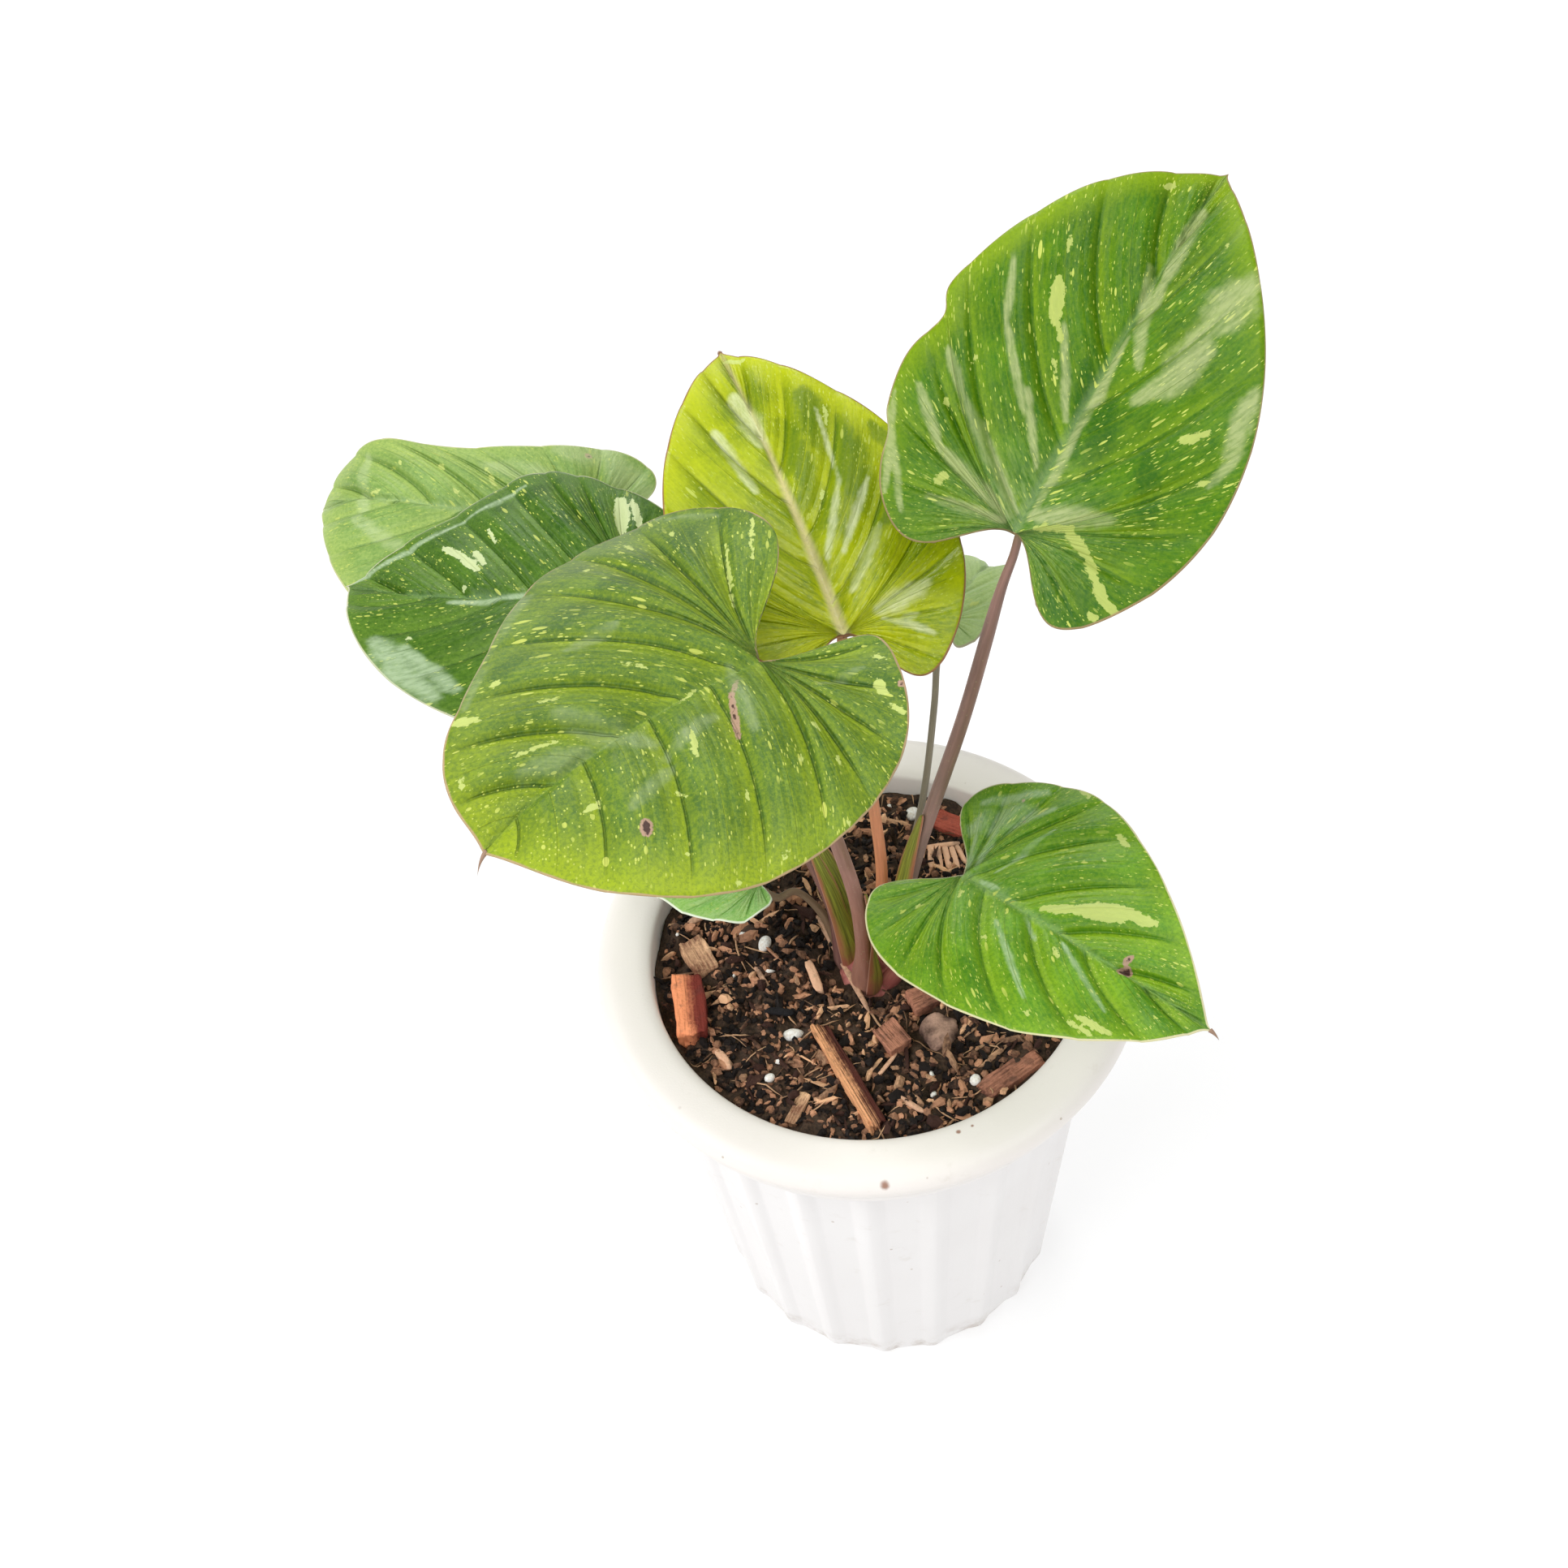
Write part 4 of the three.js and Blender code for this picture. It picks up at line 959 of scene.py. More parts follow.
def leaf_frame(leaf):
    """Along the midrib, to its left, and up from the face."""
    h, p, r = (np.radians(leaf[key]) for key in ("heading", "pitch", "roll"))
    along = np.array([np.cos(p) * np.cos(h), np.cos(p) * np.sin(h), np.sin(p)])
    level = np.array([-np.sin(h), np.cos(h), 0])
    left = np.cos(r) * level + np.sin(r) * np.cross(along, level)
    return along, left, np.cross(along, left)


def bend(leaf, u, v, side):
    """Carries flat points (u along, v out) onto the bent blade; side is 1 left or -1 right.
    Along, the midrib's slope grows with u and is summed in short steps; across, a half is a
    circle's arc that starts at the fold's slope; both turn with the blade's twist."""
    k = 0 if side > 0 else 1
    length = leaf["length"]
    rise = np.radians(leaf.get("lobe_rise", LOBE_RISE))
    def fall(w):
        forward = np.radians(leaf["droop"]) * w / length
        forward = forward + np.radians(leaf["hook"]) * np.clip(w / length, 0, 2) ** 4
        return np.where(w < 0, -rise * w, forward)
    def swing(w):
        return np.where(w > 0, np.radians(leaf["sweep"]) * w / length, 0)
    steps = (np.arange(MIDRIB_STEPS) + 0.5) / MIDRIB_STEPS
    w = u[..., None] * steps
    down, aside = fall(w), swing(w)
    slope = [np.cos(down) * np.cos(aside), np.cos(down) * np.sin(aside), -np.sin(down)]
    middle = [part.mean(-1) * u for part in slope]
    a, b = fall(u), swing(u)
    curve = np.radians(leaf["curl"][k]) / leaf["half_width"][k]
    fold = np.radians(leaf["fold"])
    across = side * (np.sin(fold) - np.sin(fold - curve * v)) / curve
    above = (np.cos(fold - curve * v) - np.cos(fold)) / curve
    turn = np.radians(leaf["twist"]) * u / length
    c, s = np.cos(turn), np.sin(turn)
    across, above = across * c - above * s, across * s + above * c
    along, left, up = leaf_frame(leaf)
    x = middle[0] - across * np.sin(b) + above * np.sin(a) * np.cos(b)
    y = middle[1] + across * np.cos(b) + above * np.sin(a) * np.sin(b)
    z = middle[2] + above * np.cos(a)
    return np.array(leaf["at"]) + x[..., None] * along + y[..., None] * left + z[..., None] * up


def face_normal(leaf, u, v, side, step=0.3):
    """Upward normal: the cross product of two small steps, along the midrib and outwards."""
    here = bend(leaf, u, v, side)
    ahead = bend(leaf, u + step, v, side) - here
    outward = bend(leaf, u, v + step, side) - here
    normal = np.cross(ahead, outward) * side
    return normal / np.linalg.norm(normal, axis=-1, keepdims=True)


for name, leaf in LEAVES.items():
    print(name, "tip at", bend(leaf, np.array([leaf["length"]]), np.array([0.0]), 1)[0].round(0))

# %% [markdown]
# The pale patches are the plant's variegation, and each is somewhere definite. A patch is a
# short thick line in the blade's own flat coordinates: from one point to another, u along the
# midrib and v across it (positive on the left half), and a width. The distance to the nearest
# such line is stored in a UV map, and the finish turns it into a ragged edge. The painted sheen,
# a pale colour that stands for the lamps mirrored in the waxy blade, and the painted shade, a
# deep green where shade falls on the blade, are lines of the same kind, but with a strength
# that fades out on both sides. A picture could hold all this, but lines stay sharp at any
# distance and can be moved by hand.

# %% Patches, scars, painted sheen and painted shade
# Each line: u and v of one end, u and v of the other, and the width.
PATCHES = {
    "tall_right": [
        (82, 28, 68, 22, 4.9), (68, 21, 62, 16, 1.8), (98, 32, 92, 30, 1.8), (130, 14, 134, 12, 2.4),
        (48, -36, 50, -40, 3.8), (51, -40, 54, -43, 2.4), (37, -48, 39, -50, 2.6), (4, 30, 6, 29, 2.9),
        (30, 42, 28, 40, 2.0), (58, 17, 50, 12, 1.0), (48, 40, 42, 39, 1.2), (50, 61, 52, 56, 2.4),
        (4, -6, 9, -18, 2.4), (8, -16, 3, -27, 4.0), (3, -27, -4, -35, 3.0), (-4, -35, -8, -40, 4.0),
        (-8, -40, -10, -46, 3.4), (-14, -38, -14, -40, 2.4), (118, -14, 115, -17, 1.2),
    ],
    "young_middle": [
        (123, 0, 120, -6, 2.2), (88, -24, 80, -22, 1.4), (52, -10, 56, -12, 1.4), (68, 28, 66, 28, 1.0),
    ],
    "broad_front": [
        (90, -36, 84, -31, 3.2), (86, -14, 71, -10, 1.2), (41, 16, 48, 26, 2.0), (84, 16, 78, 16, 2.4),
        (21, 44, 23, 46, 1.7), (12, 50, 14, 54, 1.5), (-16, 45, -17, 50, 2.4), (44, 44, 46, 47, 1.7),
        (60, 30, 60, 34, 1.4), (74, 48, 74, 50, 1.4), (52, 68, 50, 68, 2.0), (70, 66, 69, 66, 1.6),
        (26, 70, 26, 72, 1.4), (73, -38, 71, -38, 2.0), (18, -66, 15, -67, 2.4),
        (18, -56, 18, -56, 1.4), (-15, -66, -14, -64, 2.2), (-2, -74, 0, -66, 1.6),
        (-23, -46, -6, -22, 1.2), (-36, -48, -24, -33, 1.4), (40, -20, 34, -14, 1.2),
        (34, 1, 24, -1, 1.0), (68, -24, 63, -21, 1.2), (100, -20, 102, -18, 1.6),
        (-19, 36, -18, 39, 3.5), (-25, 25, -28, 30, 1.4), (10, 36, 10, 40, 1.4),
    ],
    "low_right": [
        (35, 4, 46, 10, 3.8), (46, 10, 64, 19, 7.0), (64, 18, 71, 20, 4.3), (70, -28, 80, -28, 1.6),
        (72, -25, 84, -24, 2.8), (38, 41, 44, 39, 2.7), (12, 49, 18, 48, 2.0), (7, 32, 8, 36, 1.5),
        (40, 30, 42, 30, 1.2), (1, -22, 2, -20, 1.5), (20, -24, 20, -24, 1.4), (27, -17, 29, -18, 1.4),
        (49, -7, 53, -10, 1.5), (58, -34, 60, -34, 1.4), (10, -11, 8, -8, 1.1),
    ],
    "left": [
        (76, -20, 64, -16, 3.4), (66, -16, 57, -11, 3.6), (62, -20, 56, -14, 3.0),
        (62, -4, 60, -4, 1.7), (60, -30, 54, -24, 1.4), (72, 22, 70, 22, 1.4),
        (-2, -42, 0, -26, 6.0), (-6, -40, -6, -24, 3.0), (58, 3, 54, 2, 0.9),
    ],
    "far_left": [
        (46, -18, 40, -12, 1.5), (64, -16, 62, -15, 2.0), (55, -8, 52, -5, 1.4),
        (80, -16, 79, -14, 1.4), (88, -2, 84, -3, 1.4), (73, 1, 71, 0, 1.2),
    ],
    "small_behind": [(13, -6, 16, -8, 1.4)],
    "small_low": [],
}
SCARS = {
    "broad_front": [
        (14, 6, 20, 11, 1.2), (20, 10, 31, 26, 1.8), (76, 34, 78, 36, 3.2), (-24, 41, -25, 42, 1.9),
    ],
    "low_right": [(72, 0, 73, 1, 3.5), (71, 3, 72, 6, 1.9), (-2, 34, -2, 34, 1.1), (4, 28, 4, 28, 1.1)],
    "far_left": [(12, -34, 10, -34, 1.9)],
}
# Painted sheen: lines where a pale colour stands for the lamps mirrored in the waxy blade.
PAINTED_SHEEN_LINES = {
    "tall_right": [
        (62, -24, 84, -24, 14), (84, -25, 106, -30, 15), (54, -16, 78, -30, 8),
        (50, -52, 71, -49, 8), (38, -51, 52, -55, 4), (100, 4, 66, -10, 5),
        (128, -1, 98, -3, 6), (98, -3, 77, -3, 4), (83, 45, 61, 36, 3),
        (61, 36, 36, 16, 3), (44, 19, 22, 4, 3), (69, 19, 40, 3, 3), (45, 49, 33, 37, 4),
        (33, 37, 6, 3, 5), (30, 52, 14, 35, 4), (14, 35, 4, 4, 5), (-2, 31, 2, 5, 4),
        (8, -5, 16, -28, 7), (6, -3, 74, -2, 4), (25, 59, -7, 44, 3), (19, 58, -10, 36, 3),
    ],
    "young_middle": [
        (88, -21, 56, -18, 1.8), (56, -18, 28, -4, 3), (53, -27, 29, -10, 3), (34, -24, 14, -8, 5),
        (8, -31, 4, -14, 8), (-1, -25, -2, -19, 4), (104, 3, 80, 2, 9), (90, 15, 60, 11, 5),
        (1, -14, -10, -28, 3), (46, -36, 26, -34, 3),
    ],
    "broad_front": [
        (38, -67, 66, -50, 5), (66, -50, 84, -38, 4), (-18, -80, -30, -61, 3), (-4, 24, -20, 28, 3),
        (66, -16, 52, 10, 10), (88, -8, 68, -2, 8), (53, 18, 30, 14, 6), (75, 27, 54, 22, 5),
        (48, -35, 30, -34, 5), (10, -3, 26, 28, 5),
    ],
    "low_right": [
        (50, -4, 78, -18, 2.4), (26, -10, 55, -30, 2.4), (-6, 14, 0, 3, 3), (-2, 24, 3, 4, 3),
        (32, -2, 41, -7, 2), (18, 31, 10, 6, 2), (8, 1, 16, 2, 2), (-14, 26, 2, 42, 5),
        (0, 22, 11, 37, 4), (-10, 16, 4, 32, 12),
    ],
    "left": [
        (82, 24, 58, 44, 10), (71, 26, 52, 41, 6), (109, -2, 74, -37, 3), (74, -37, 50, -53, 3),
        (64, 4, 29, -3, 2.4),
    ],
    "far_left": [
        (97, -18, 88, 10, 6), (90, 10, 60, 24, 6), (46, -19, 18, -21, 8), (6, -36, -14, -23, 14),
        (22, -33, 0, -38, 12),
    ],
    "small_low": [(40, 14, 20, 22, 4.0)],
}
# Painted shade: lines where a deep green stands for shade on the blade.
PAINTED_SHADE_LINES = {
    "young_middle": [(94, -19, 36, -26, 14), (88, -8, 50, -9, 9), (74, -36, 60, -40, 6)],
    "tall_right": [
        (60, 6, 30, -6, 6), (20, -40, 40, -28, 8), (24, 30, 40, 44, 4), (50, -8, 26, -14, 10),
        (-12, -24, -14, -32, 12),
    ],
    "broad_front": [(-30, -60, 20, -50, 16), (20, -50, 70, -40, 8), (-8, 26, -26, 46, 12)],
    "low_right": [(84, -4, 106, 0, 22), (30, -30, 50, -40, 6)],
    "left": [(60, -40, 30, -56, 8), (30, -30, 10, -40, 12)],
}
for title, table in (("patches", PATCHES), ("scars", SCARS), ("bloom", PAINTED_SHEEN_LINES), ("shades", PAINTED_SHADE_LINES)):
    print(title, "are", sum(len(lines) for lines in table.values()), "lines")

# %% [markdown]
# Two functions read such lines. For a patch or a scar it is the distance to the nearest edge,
# which the finish can push out and in with noise until the edge is torn. For painted sheen and
# painted shade it is a strength without an edge. A blade that has no such line is FAR from every one.

# %% Distances to lines
FAR = 30.0
LENS = 0.45


def to_line(u, v, line):
    """Distance in millimetres to the middle of one thick line, and its half width there. A line
    that is longer than wide narrows towards its ends, like a lens."""
    u1, v1, u2, v2, width = line
    du, dv = u2 - u1, v2 - v1
    share = np.clip(((u - u1) * du + (v - v1) * dv) / max(du * du + dv * dv, 1e-6), 0, 1)
    lens = 1 - LENS * (2 * share - 1) ** 2 if np.hypot(du, dv) > width else 1
    return np.hypot(u - u1 - share * du, v - v1 - share * dv), width / 2 * lens


def distance_to_lines(u, v, lines):
    """Distance to the nearest edge of some thick lines; below 0 inside one."""
    nearest = np.full(np.shape(u), FAR)
    for line in lines:
        distance, half = to_line(u, v, line)
        nearest = np.minimum(nearest, distance - half)
    return nearest


def strength_near_lines(u, v, lines):
    """1 near a thick line's middle, falling softly to 0 at almost twice its half width."""
    strength = np.zeros(u.shape)
    for line in lines:
        distance, half = to_line(u, v, line)
        strength = np.maximum(strength, ease(1.8, 0.2, distance / half))
    return strength


print("a patch's edge is", distance_to_lines(82.0, 28.0, PATCHES["tall_right"]).round(2), "mm away")

# %% [markdown]
# Now the blade itself. It is raised between the veins and sunk along them, and its margin
# waves. The raised panels are not even: each rises steeply from the vein on its tip side and
# falls away slowly to the next, and that is what makes a blade look quilted under any light. A
# bump would bend the mirrored lamps too, but not the outline or the shadow, so this relief is
# real. With each point comes all that the finish needs to know about it: its place on a vein,
# the distances to margin, vein, patch and scar, and the strengths of painted sheen and shade.

# %% Blade surface
BLADE_ROWS = 181
BLADE_COLUMNS = 40
# Between two veins, the height is across**rise * (1 - across)**fall over its highest value, less
# the part by which the veins are sunk, times the panel's width and QUILTING.
QUILTING = 0.27
QUILTING_RISE = 0.7
QUILTING_FALL = 1.3
QUILTING_HIGHEST = 0.274
QUILTING_SUNK = 0.6
WIDEST_PANEL = 12.0
MARGIN_WAVES = 3.5
MARGIN_WAVE_HEIGHT = 0.7


def blade_half(name, leaf, side):
    """One half's points, normals, relief and UV layers on the vein grid. Near the midrib the
    normal goes over to one that both halves share, so that no crease opens between them."""
    k = 0 if side > 0 else 1
    t = np.linspace(0, 1, BLADE_ROWS)[:, None] + np.zeros(BLADE_COLUMNS)
    s = np.zeros(BLADE_ROWS)[:, None] + np.linspace(0, 1, BLADE_COLUMNS) ** 1.2
    s[0] = 0
    u, v = vein_points(leaf, t, s, k)
    normal = face_normal(leaf, u, v, side)
    midrib = u[:, :1]
    shared = face_normal(leaf, midrib, 0 * midrib, 1) + face_normal(leaf, midrib, 0 * midrib, -1)
    shared /= np.linalg.norm(shared, axis=-1, keepdims=True)
    near = np.exp(-((v / 2.0) ** 2))[..., None]
    normal = normal * (1 - near) + shared * near
    normal[s == 0] = np.broadcast_to(shared, normal.shape)[s == 0]
    normal /= np.linalg.norm(normal, axis=-1, keepdims=True)
    down_u, out_u = np.gradient(u)
    down_v, out_v = np.gradient(v)
    stride = np.abs(down_u * out_v - down_v * out_u) / np.maximum(np.hypot(out_u, out_v), 1e-6)
    panel = stride * (BLADE_ROWS - 1) / leaf["veins"]
    signed = (t * leaf["veins"] + (0.0 if side > 0 else 0.45)) % 1 - 0.5
    across = signed % 1.0
    bulge = across**QUILTING_RISE * (1 - across) ** QUILTING_FALL / QUILTING_HIGHEST
    bulge = bulge - QUILTING_SUNK
    reach = ease(0, 0.12, s) * (1 - 0.75 * ease(0.5, 1.0, s))
    reach = reach * ease(0.0, 0.12, t) * (1 - 0.6 * ease(0.9, 1.0, t))
    wave = MARGIN_WAVE_HEIGHT * np.sin(2 * np.pi * (MARGIN_WAVES * t + 0.13 * len(name)))
    wave = wave * s**5 * ease(0.02, 0.2, t)
    relief = QUILTING * np.minimum(panel, WIDEST_PANEL) * bulge * reach + wave
    margin = outline(leaf, np.linspace(0, np.pi, 400), k)
    gap = np.hypot(u[..., None] - margin[:, 0], v[..., None] - margin[:, 1]).min(-1)
    # Strengths of the painted sheen and of the painted shade.
    strengths = [strength_near_lines(u, side * v, lines.get(name, [])) for lines in (PAINTED_SHEEN_LINES, PAINTED_SHADE_LINES)]
    distances = [distance_to_lines(u, side * v, lines.get(name, [])) for lines in (PATCHES, SCARS)]
    layers = {
        "vein": np.stack([t, side * s], -1),
        "flat": np.stack([u, side * v], -1),
        "edge": np.stack([gap, np.abs(v)], -1),
        "furrow": np.stack([signed * panel, panel], -1),
        "bloom": np.stack(strengths, -1),
        "marks": np.stack(distances, -1),
    }
    return u, v, bend(leaf, u, v, side), normal, relief, layers


print("blade grid:", BLADE_ROWS, "by", BLADE_COLUMNS, "on each half")

# %% [markdown]
# The surface so far is the middle of the blade. Its two faces lie half a thickness above and
# below, along the normal, and a rounded strip closes the margin and the notch, so that the
# blade is one closed body with an edge that catches light. A Solidify modifier would give both
# faces the same relief, while a real blade has a groove over its midrib and a thick ridge under
# it. Three blades end in a dry brown curl, a small cone whose middle line bends down.

# %% Blade bodies
BLADE_THICKNESS = 0.7
BLADE_ROUNDING = 0.45
MIDRIB_GROOVE = 0.6
MIDRIB_SHARE = 0.015
# How long each dry curl is, in millimetres.
TIP_CURLS = {"broad_front": 7.0, "low_right": 4.0, "young_middle": 3.0}
CURL_RINGS = 9
CURL_SIDES = 8
CURL_RADIUS = 0.95
CURL_BOW = 0.7


def blade_parts(name, leaf, side):
    """Upper face, lower face and the rounded strips along the margin and the notch of one half.
    A strip is three rows: the two faces' borders and a row pushed out between them."""
    u, v, points, normal, relief, layers = blade_half(name, leaf, side)
    along = np.clip(1 - u / leaf["length"], 0, 1.3)
    groove = MIDRIB_GROOVE * np.sqrt(along) * np.exp(-((v / 1.3) ** 2))
    ridge = MIDRIB_SHARE * leaf["length"] * np.clip(along, 0, 1) * np.exp(-((v / 1.7) ** 2))
    half = BLADE_THICKNESS / 2
    upper = points + normal * (relief - groove + half)[..., None]
    lower = points + normal * (relief - ridge - half)[..., None]
    outward = points[:, -1] - points[:, -2]
    outward /= np.maximum(np.linalg.norm(outward, axis=-1, keepdims=True), 1e-9)
    backward = points[-1] - points[-2]
    backward /= np.maximum(np.linalg.norm(backward, axis=-1, keepdims=True), 1e-9)
    corner = outward[-1] + backward[-1]
    outward[-1] = backward[-1] = corner / np.linalg.norm(corner)
    outward[0] = 0
    backward[0] = 0
    def strip(out, pick, flip):
        high, low = upper[pick], lower[pick]
        rows = np.stack([high, (high + low) / 2 + out * BLADE_THICKNESS * BLADE_ROUNDING, low])
        layer = {key: np.tile(value[pick], (3, 1)) for key, value in layers.items()}
        layer["face"] = np.ones((3 * len(high), 2))
        return rows.reshape(-1, 3), sheet_faces(3, len(high), flip=flip), layer
    shape = points.shape[:2]
    parts = []
    for face, surface, flip in ((1.0, upper, side < 0), (0.0, lower, side > 0)):
        flat_layers = {key: value.reshape(-1, 2) for key, value in layers.items()}
        flat_layers["face"] = np.full((surface[..., 0].size, 2), face)
        parts.append((surface.reshape(-1, 3), sheet_faces(*shape, flip=flip), flat_layers))
    return parts + [strip(outward, np.s_[:, -1], side > 0), strip(backward, np.s_[-1], side < 0)]


def tip_curl(leaf, length):
    """The dried tip: a small cone that curls down, as rings round a line, each thinner than the
    last. Its layers say that all of it is one brown scar."""
    run = np.linspace(0, 1, CURL_RINGS)
    along, left, up = leaf_frame(leaf)
    end = np.full(1, leaf["length"] + TIP_SPIKE - 1.0)
    start, before = (bend(leaf, end - back, np.zeros(1), 1)[0] for back in (0.0, 2.0))
    ahead = (start - before) / np.linalg.norm(start - before)
    above = np.cross(ahead, left)
    line = start + (run * length)[:, None] * ahead - (run**2 * length * CURL_BOW)[:, None] * above
    around = np.arange(CURL_SIDES) * 2 * np.pi / CURL_SIDES
    out = np.cos(around)[None, :, None] * left + np.sin(around)[None, :, None] * above
    rings = line[:, None] + CURL_RADIUS * (1.0 - run)[:, None, None] * out
    points = np.concatenate([np.repeat(line[:1, None], CURL_SIDES, axis=1), rings])
    blank = np.zeros((len(points) * CURL_SIDES, 2))
    # The dry curl has no painted sheen or painted shade.
    layers = {"vein": blank, "flat": blank + 50, "edge": blank + 9, "furrow": blank + 9, "bloom": blank}
    layers.update(marks=blank - 0.5, face=blank + 1)
    flat = points.reshape(-1, 3)
    return flat, outside_out(flat, sheet_faces(len(points), CURL_SIDES, closed=True)), layers


print("dry curls on:", ", ".join(TIP_CURLS))

# %% [markdown]
# Every blade has its own greens, from the deep green of the tall one at the right to the
# yellow green of the young one in the middle. Eight materials drawn one by one would drift
# apart, so one finish with many named values serves them all. What several blades share
# stands in COMMON.

# %% Leaf colours
# deep, leaf and light: the tissue from the furrows to the palest part. rib: the midrib's colour,
# rib_share: its strength. painted_fan_sheen: the strength of a painted sheen in rays round the
# joint, in the rib's colour or in painted_fan_tint. rim: the line on the margin. edge_light and
# edge_reach: how strong and how wide, in millimetres, the paler border is; edge_way: the shares
# of v and u, and a start, that say where it shows. gloss: the roughness; shine: how strongly it
# mirrors. furrow: how dark a vein's groove is, a painted shade; painted_vein_shade: how dark the
# painted shade on its notch side is; painted_vein_highlight: how light the painted highlight on
# its tip side is. mottle: the strength of the fine blotches. bloom and
# painted_sheen_share: the colour and strength of a painted sheen, where the lamps would be
# mirrored in the wax.
COMMON = dict(
    flecks=0.8, edge_reach=8.0, edge_way=(0.0, 0.006, 0.3), painted_vein_highlight=0.25, mottle=1.0,
    patch=(0.52, 0.60, 0.17),
)
GREENS = {
    "tall_right": dict(
        deep=(0.018, 0.095, 0.001), leaf=(0.050, 0.168, 0.001), light=(0.25, 0.38, 0.004),
        rib=(0.22, 0.32, 0.15), rib_share=0.35, painted_fan_sheen=0.5, rim=(0.34, 0.23, 0.12), edge_light=0.7,
        edge_reach=12.0, edge_way=(0.006, 0.006, 0.1), gloss=0.30, shine=0.2, furrow=0.15, painted_vein_shade=0.45,
        painted_vein_highlight=0.12, mottle=0.6, bloom=(0.40, 0.45, 0.20), painted_sheen_share=0.75, patch=(0.42, 0.49, 0.12)),
    "young_middle": dict(
        deep=(0.080, 0.160, 0.001), leaf=(0.330, 0.405, 0.002), light=(0.56, 0.61, 0.004), flecks=0.6,
        rib=(0.58, 0.52, 0.24), rib_share=0.95, painted_fan_sheen=0.6, painted_fan_tint=(0.56, 0.58, 0.004),
        rim=(0.26, 0.09, 0.05), edge_light=0.6, edge_reach=14.0, gloss=0.18, shine=0.3, furrow=0.3,
        painted_vein_shade=0.5, mottle=0.4, bloom=(0.62, 0.67, 0.40), painted_sheen_share=0.7),
    "broad_front": dict(
        deep=(0.046, 0.115, 0.016), leaf=(0.102, 0.196, 0.030), light=(0.36, 0.46, 0.008),
        rib=(0.18, 0.29, 0.05), rib_share=0.3, painted_fan_sheen=0.10, rim=(0.46, 0.30, 0.18), edge_light=0.75,
        edge_reach=24.0, edge_way=(0.006, 0.009, -0.30), gloss=0.36, shine=0.25, furrow=0.55,
        painted_vein_shade=0.35, bloom=(0.28, 0.36, 0.18), painted_sheen_share=0.5),
    "low_right": dict(
        deep=(0.046, 0.172, 0.004), leaf=(0.112, 0.300, 0.016), light=(0.33, 0.50, 0.015),
        rib=(0.26, 0.40, 0.18), rib_share=0.4, painted_fan_sheen=0.35, rim=(0.75, 0.68, 0.42), edge_light=0.3,
        gloss=0.25, shine=0.3, furrow=0.35, painted_vein_shade=0.35, bloom=(0.42, 0.56, 0.34), painted_sheen_share=0.65),
    "left": dict(
        deep=(0.022, 0.080, 0.003), leaf=(0.056, 0.145, 0.008), light=(0.17, 0.30, 0.030),
        rib=(0.20, 0.33, 0.15), rib_share=0.4, painted_fan_sheen=0.15, rim=(0.60, 0.60, 0.40), edge_light=0.3,
        gloss=0.25, shine=0.25, furrow=0.35, painted_vein_shade=0.4, bloom=(0.42, 0.54, 0.34), painted_sheen_share=0.8,
        patch=(0.58, 0.66, 0.34)),
    "far_left": dict(
        deep=(0.110, 0.230, 0.035), leaf=(0.200, 0.340, 0.080), light=(0.42, 0.54, 0.130), flecks=0.6,
        rib=(0.34, 0.46, 0.22), rib_share=0.4, painted_fan_sheen=0.2, rim=(0.55, 0.55, 0.28), edge_light=0.5,
        edge_reach=12.0, gloss=0.30, shine=0.4, furrow=0.4, painted_vein_shade=0.35,
        bloom=(0.46, 0.56, 0.28), painted_sheen_share=0.5),
    "small_behind": dict(
        deep=(0.240, 0.390, 0.100), leaf=(0.400, 0.560, 0.190), light=(0.50, 0.62, 0.260), flecks=0.3,
        rib=(0.40, 0.52, 0.30), rib_share=0.3, painted_fan_sheen=0.2, rim=(0.45, 0.40, 0.30), edge_light=0.4,
        gloss=0.42, shine=0.4, furrow=0.3, painted_vein_shade=0.2, bloom=(0.48, 0.60, 0.36), painted_sheen_share=0.0),
    "small_low": dict(
        deep=(0.100, 0.340, 0.020), leaf=(0.240, 0.520, 0.060), light=(0.50, 0.70, 0.250), flecks=0.5,
        rib=(0.45, 0.58, 0.36), rib_share=0.4, painted_fan_sheen=0.2, rim=(0.85, 0.88, 0.75), edge_light=0.7,
        edge_reach=6.0, gloss=0.20, shine=0.6, furrow=0.3, painted_vein_shade=0.4,
        bloom=(0.75, 0.82, 0.66), painted_sheen_share=0.7),
}
FLECK = (0.56, 0.62, 0.12)
SCAR = (0.07, 0.035, 0.028)
SCAR_RIM = (0.40, 0.26, 0.18)
UNDERSIDE = (0.42, 0.50, 0.26)
UNDER_RIB = (0.42, 0.30, 0.20)
print("blade colours:", len(GREENS), "sets")

# %% [markdown]
# The finish follows the veins too. Colour goes from a deep green in the furrows, a painted
# shade, to a lighter one between them and a yellower one near the margin. Each vein has a
# painted shade on one side, a painted highlight on the other and a painted sheen on its
# shoulders, which bring out the quilting where the light is flat. Thousands of tiny flecks are
# drawn out along the veins: scattered points are laid out in vein coordinates, where a round dot
# becomes a streak that fans out with the blade. The underside is paler and dull. The material is
# built up as a painter would, one layer over the last: tissue, border, painted shade, the veins
# with their painted shade, highlights and sheen, blotches, flecks, patches, scars, the rim and a
# painted sheen where the lamps would be mirrored in the wax.

# %% Blade finish
def fleck_mask(finish, t, s, per_t, per_s, least, size, seed):
    """Streaks along the veins: dots in vein coordinates, per_t and per_s of them to a unit. A
    dot's radius grows from 0, where its random number is `least`, to `size`."""
    vector = finish.vector(t * per_t, s * per_s, seed)
    distance, chance = finish.cells(vector, 1.0)
    radius = finish.step(chance, least, 1.0) * size
    return finish.step(radius - distance, 0.0, 0.06)


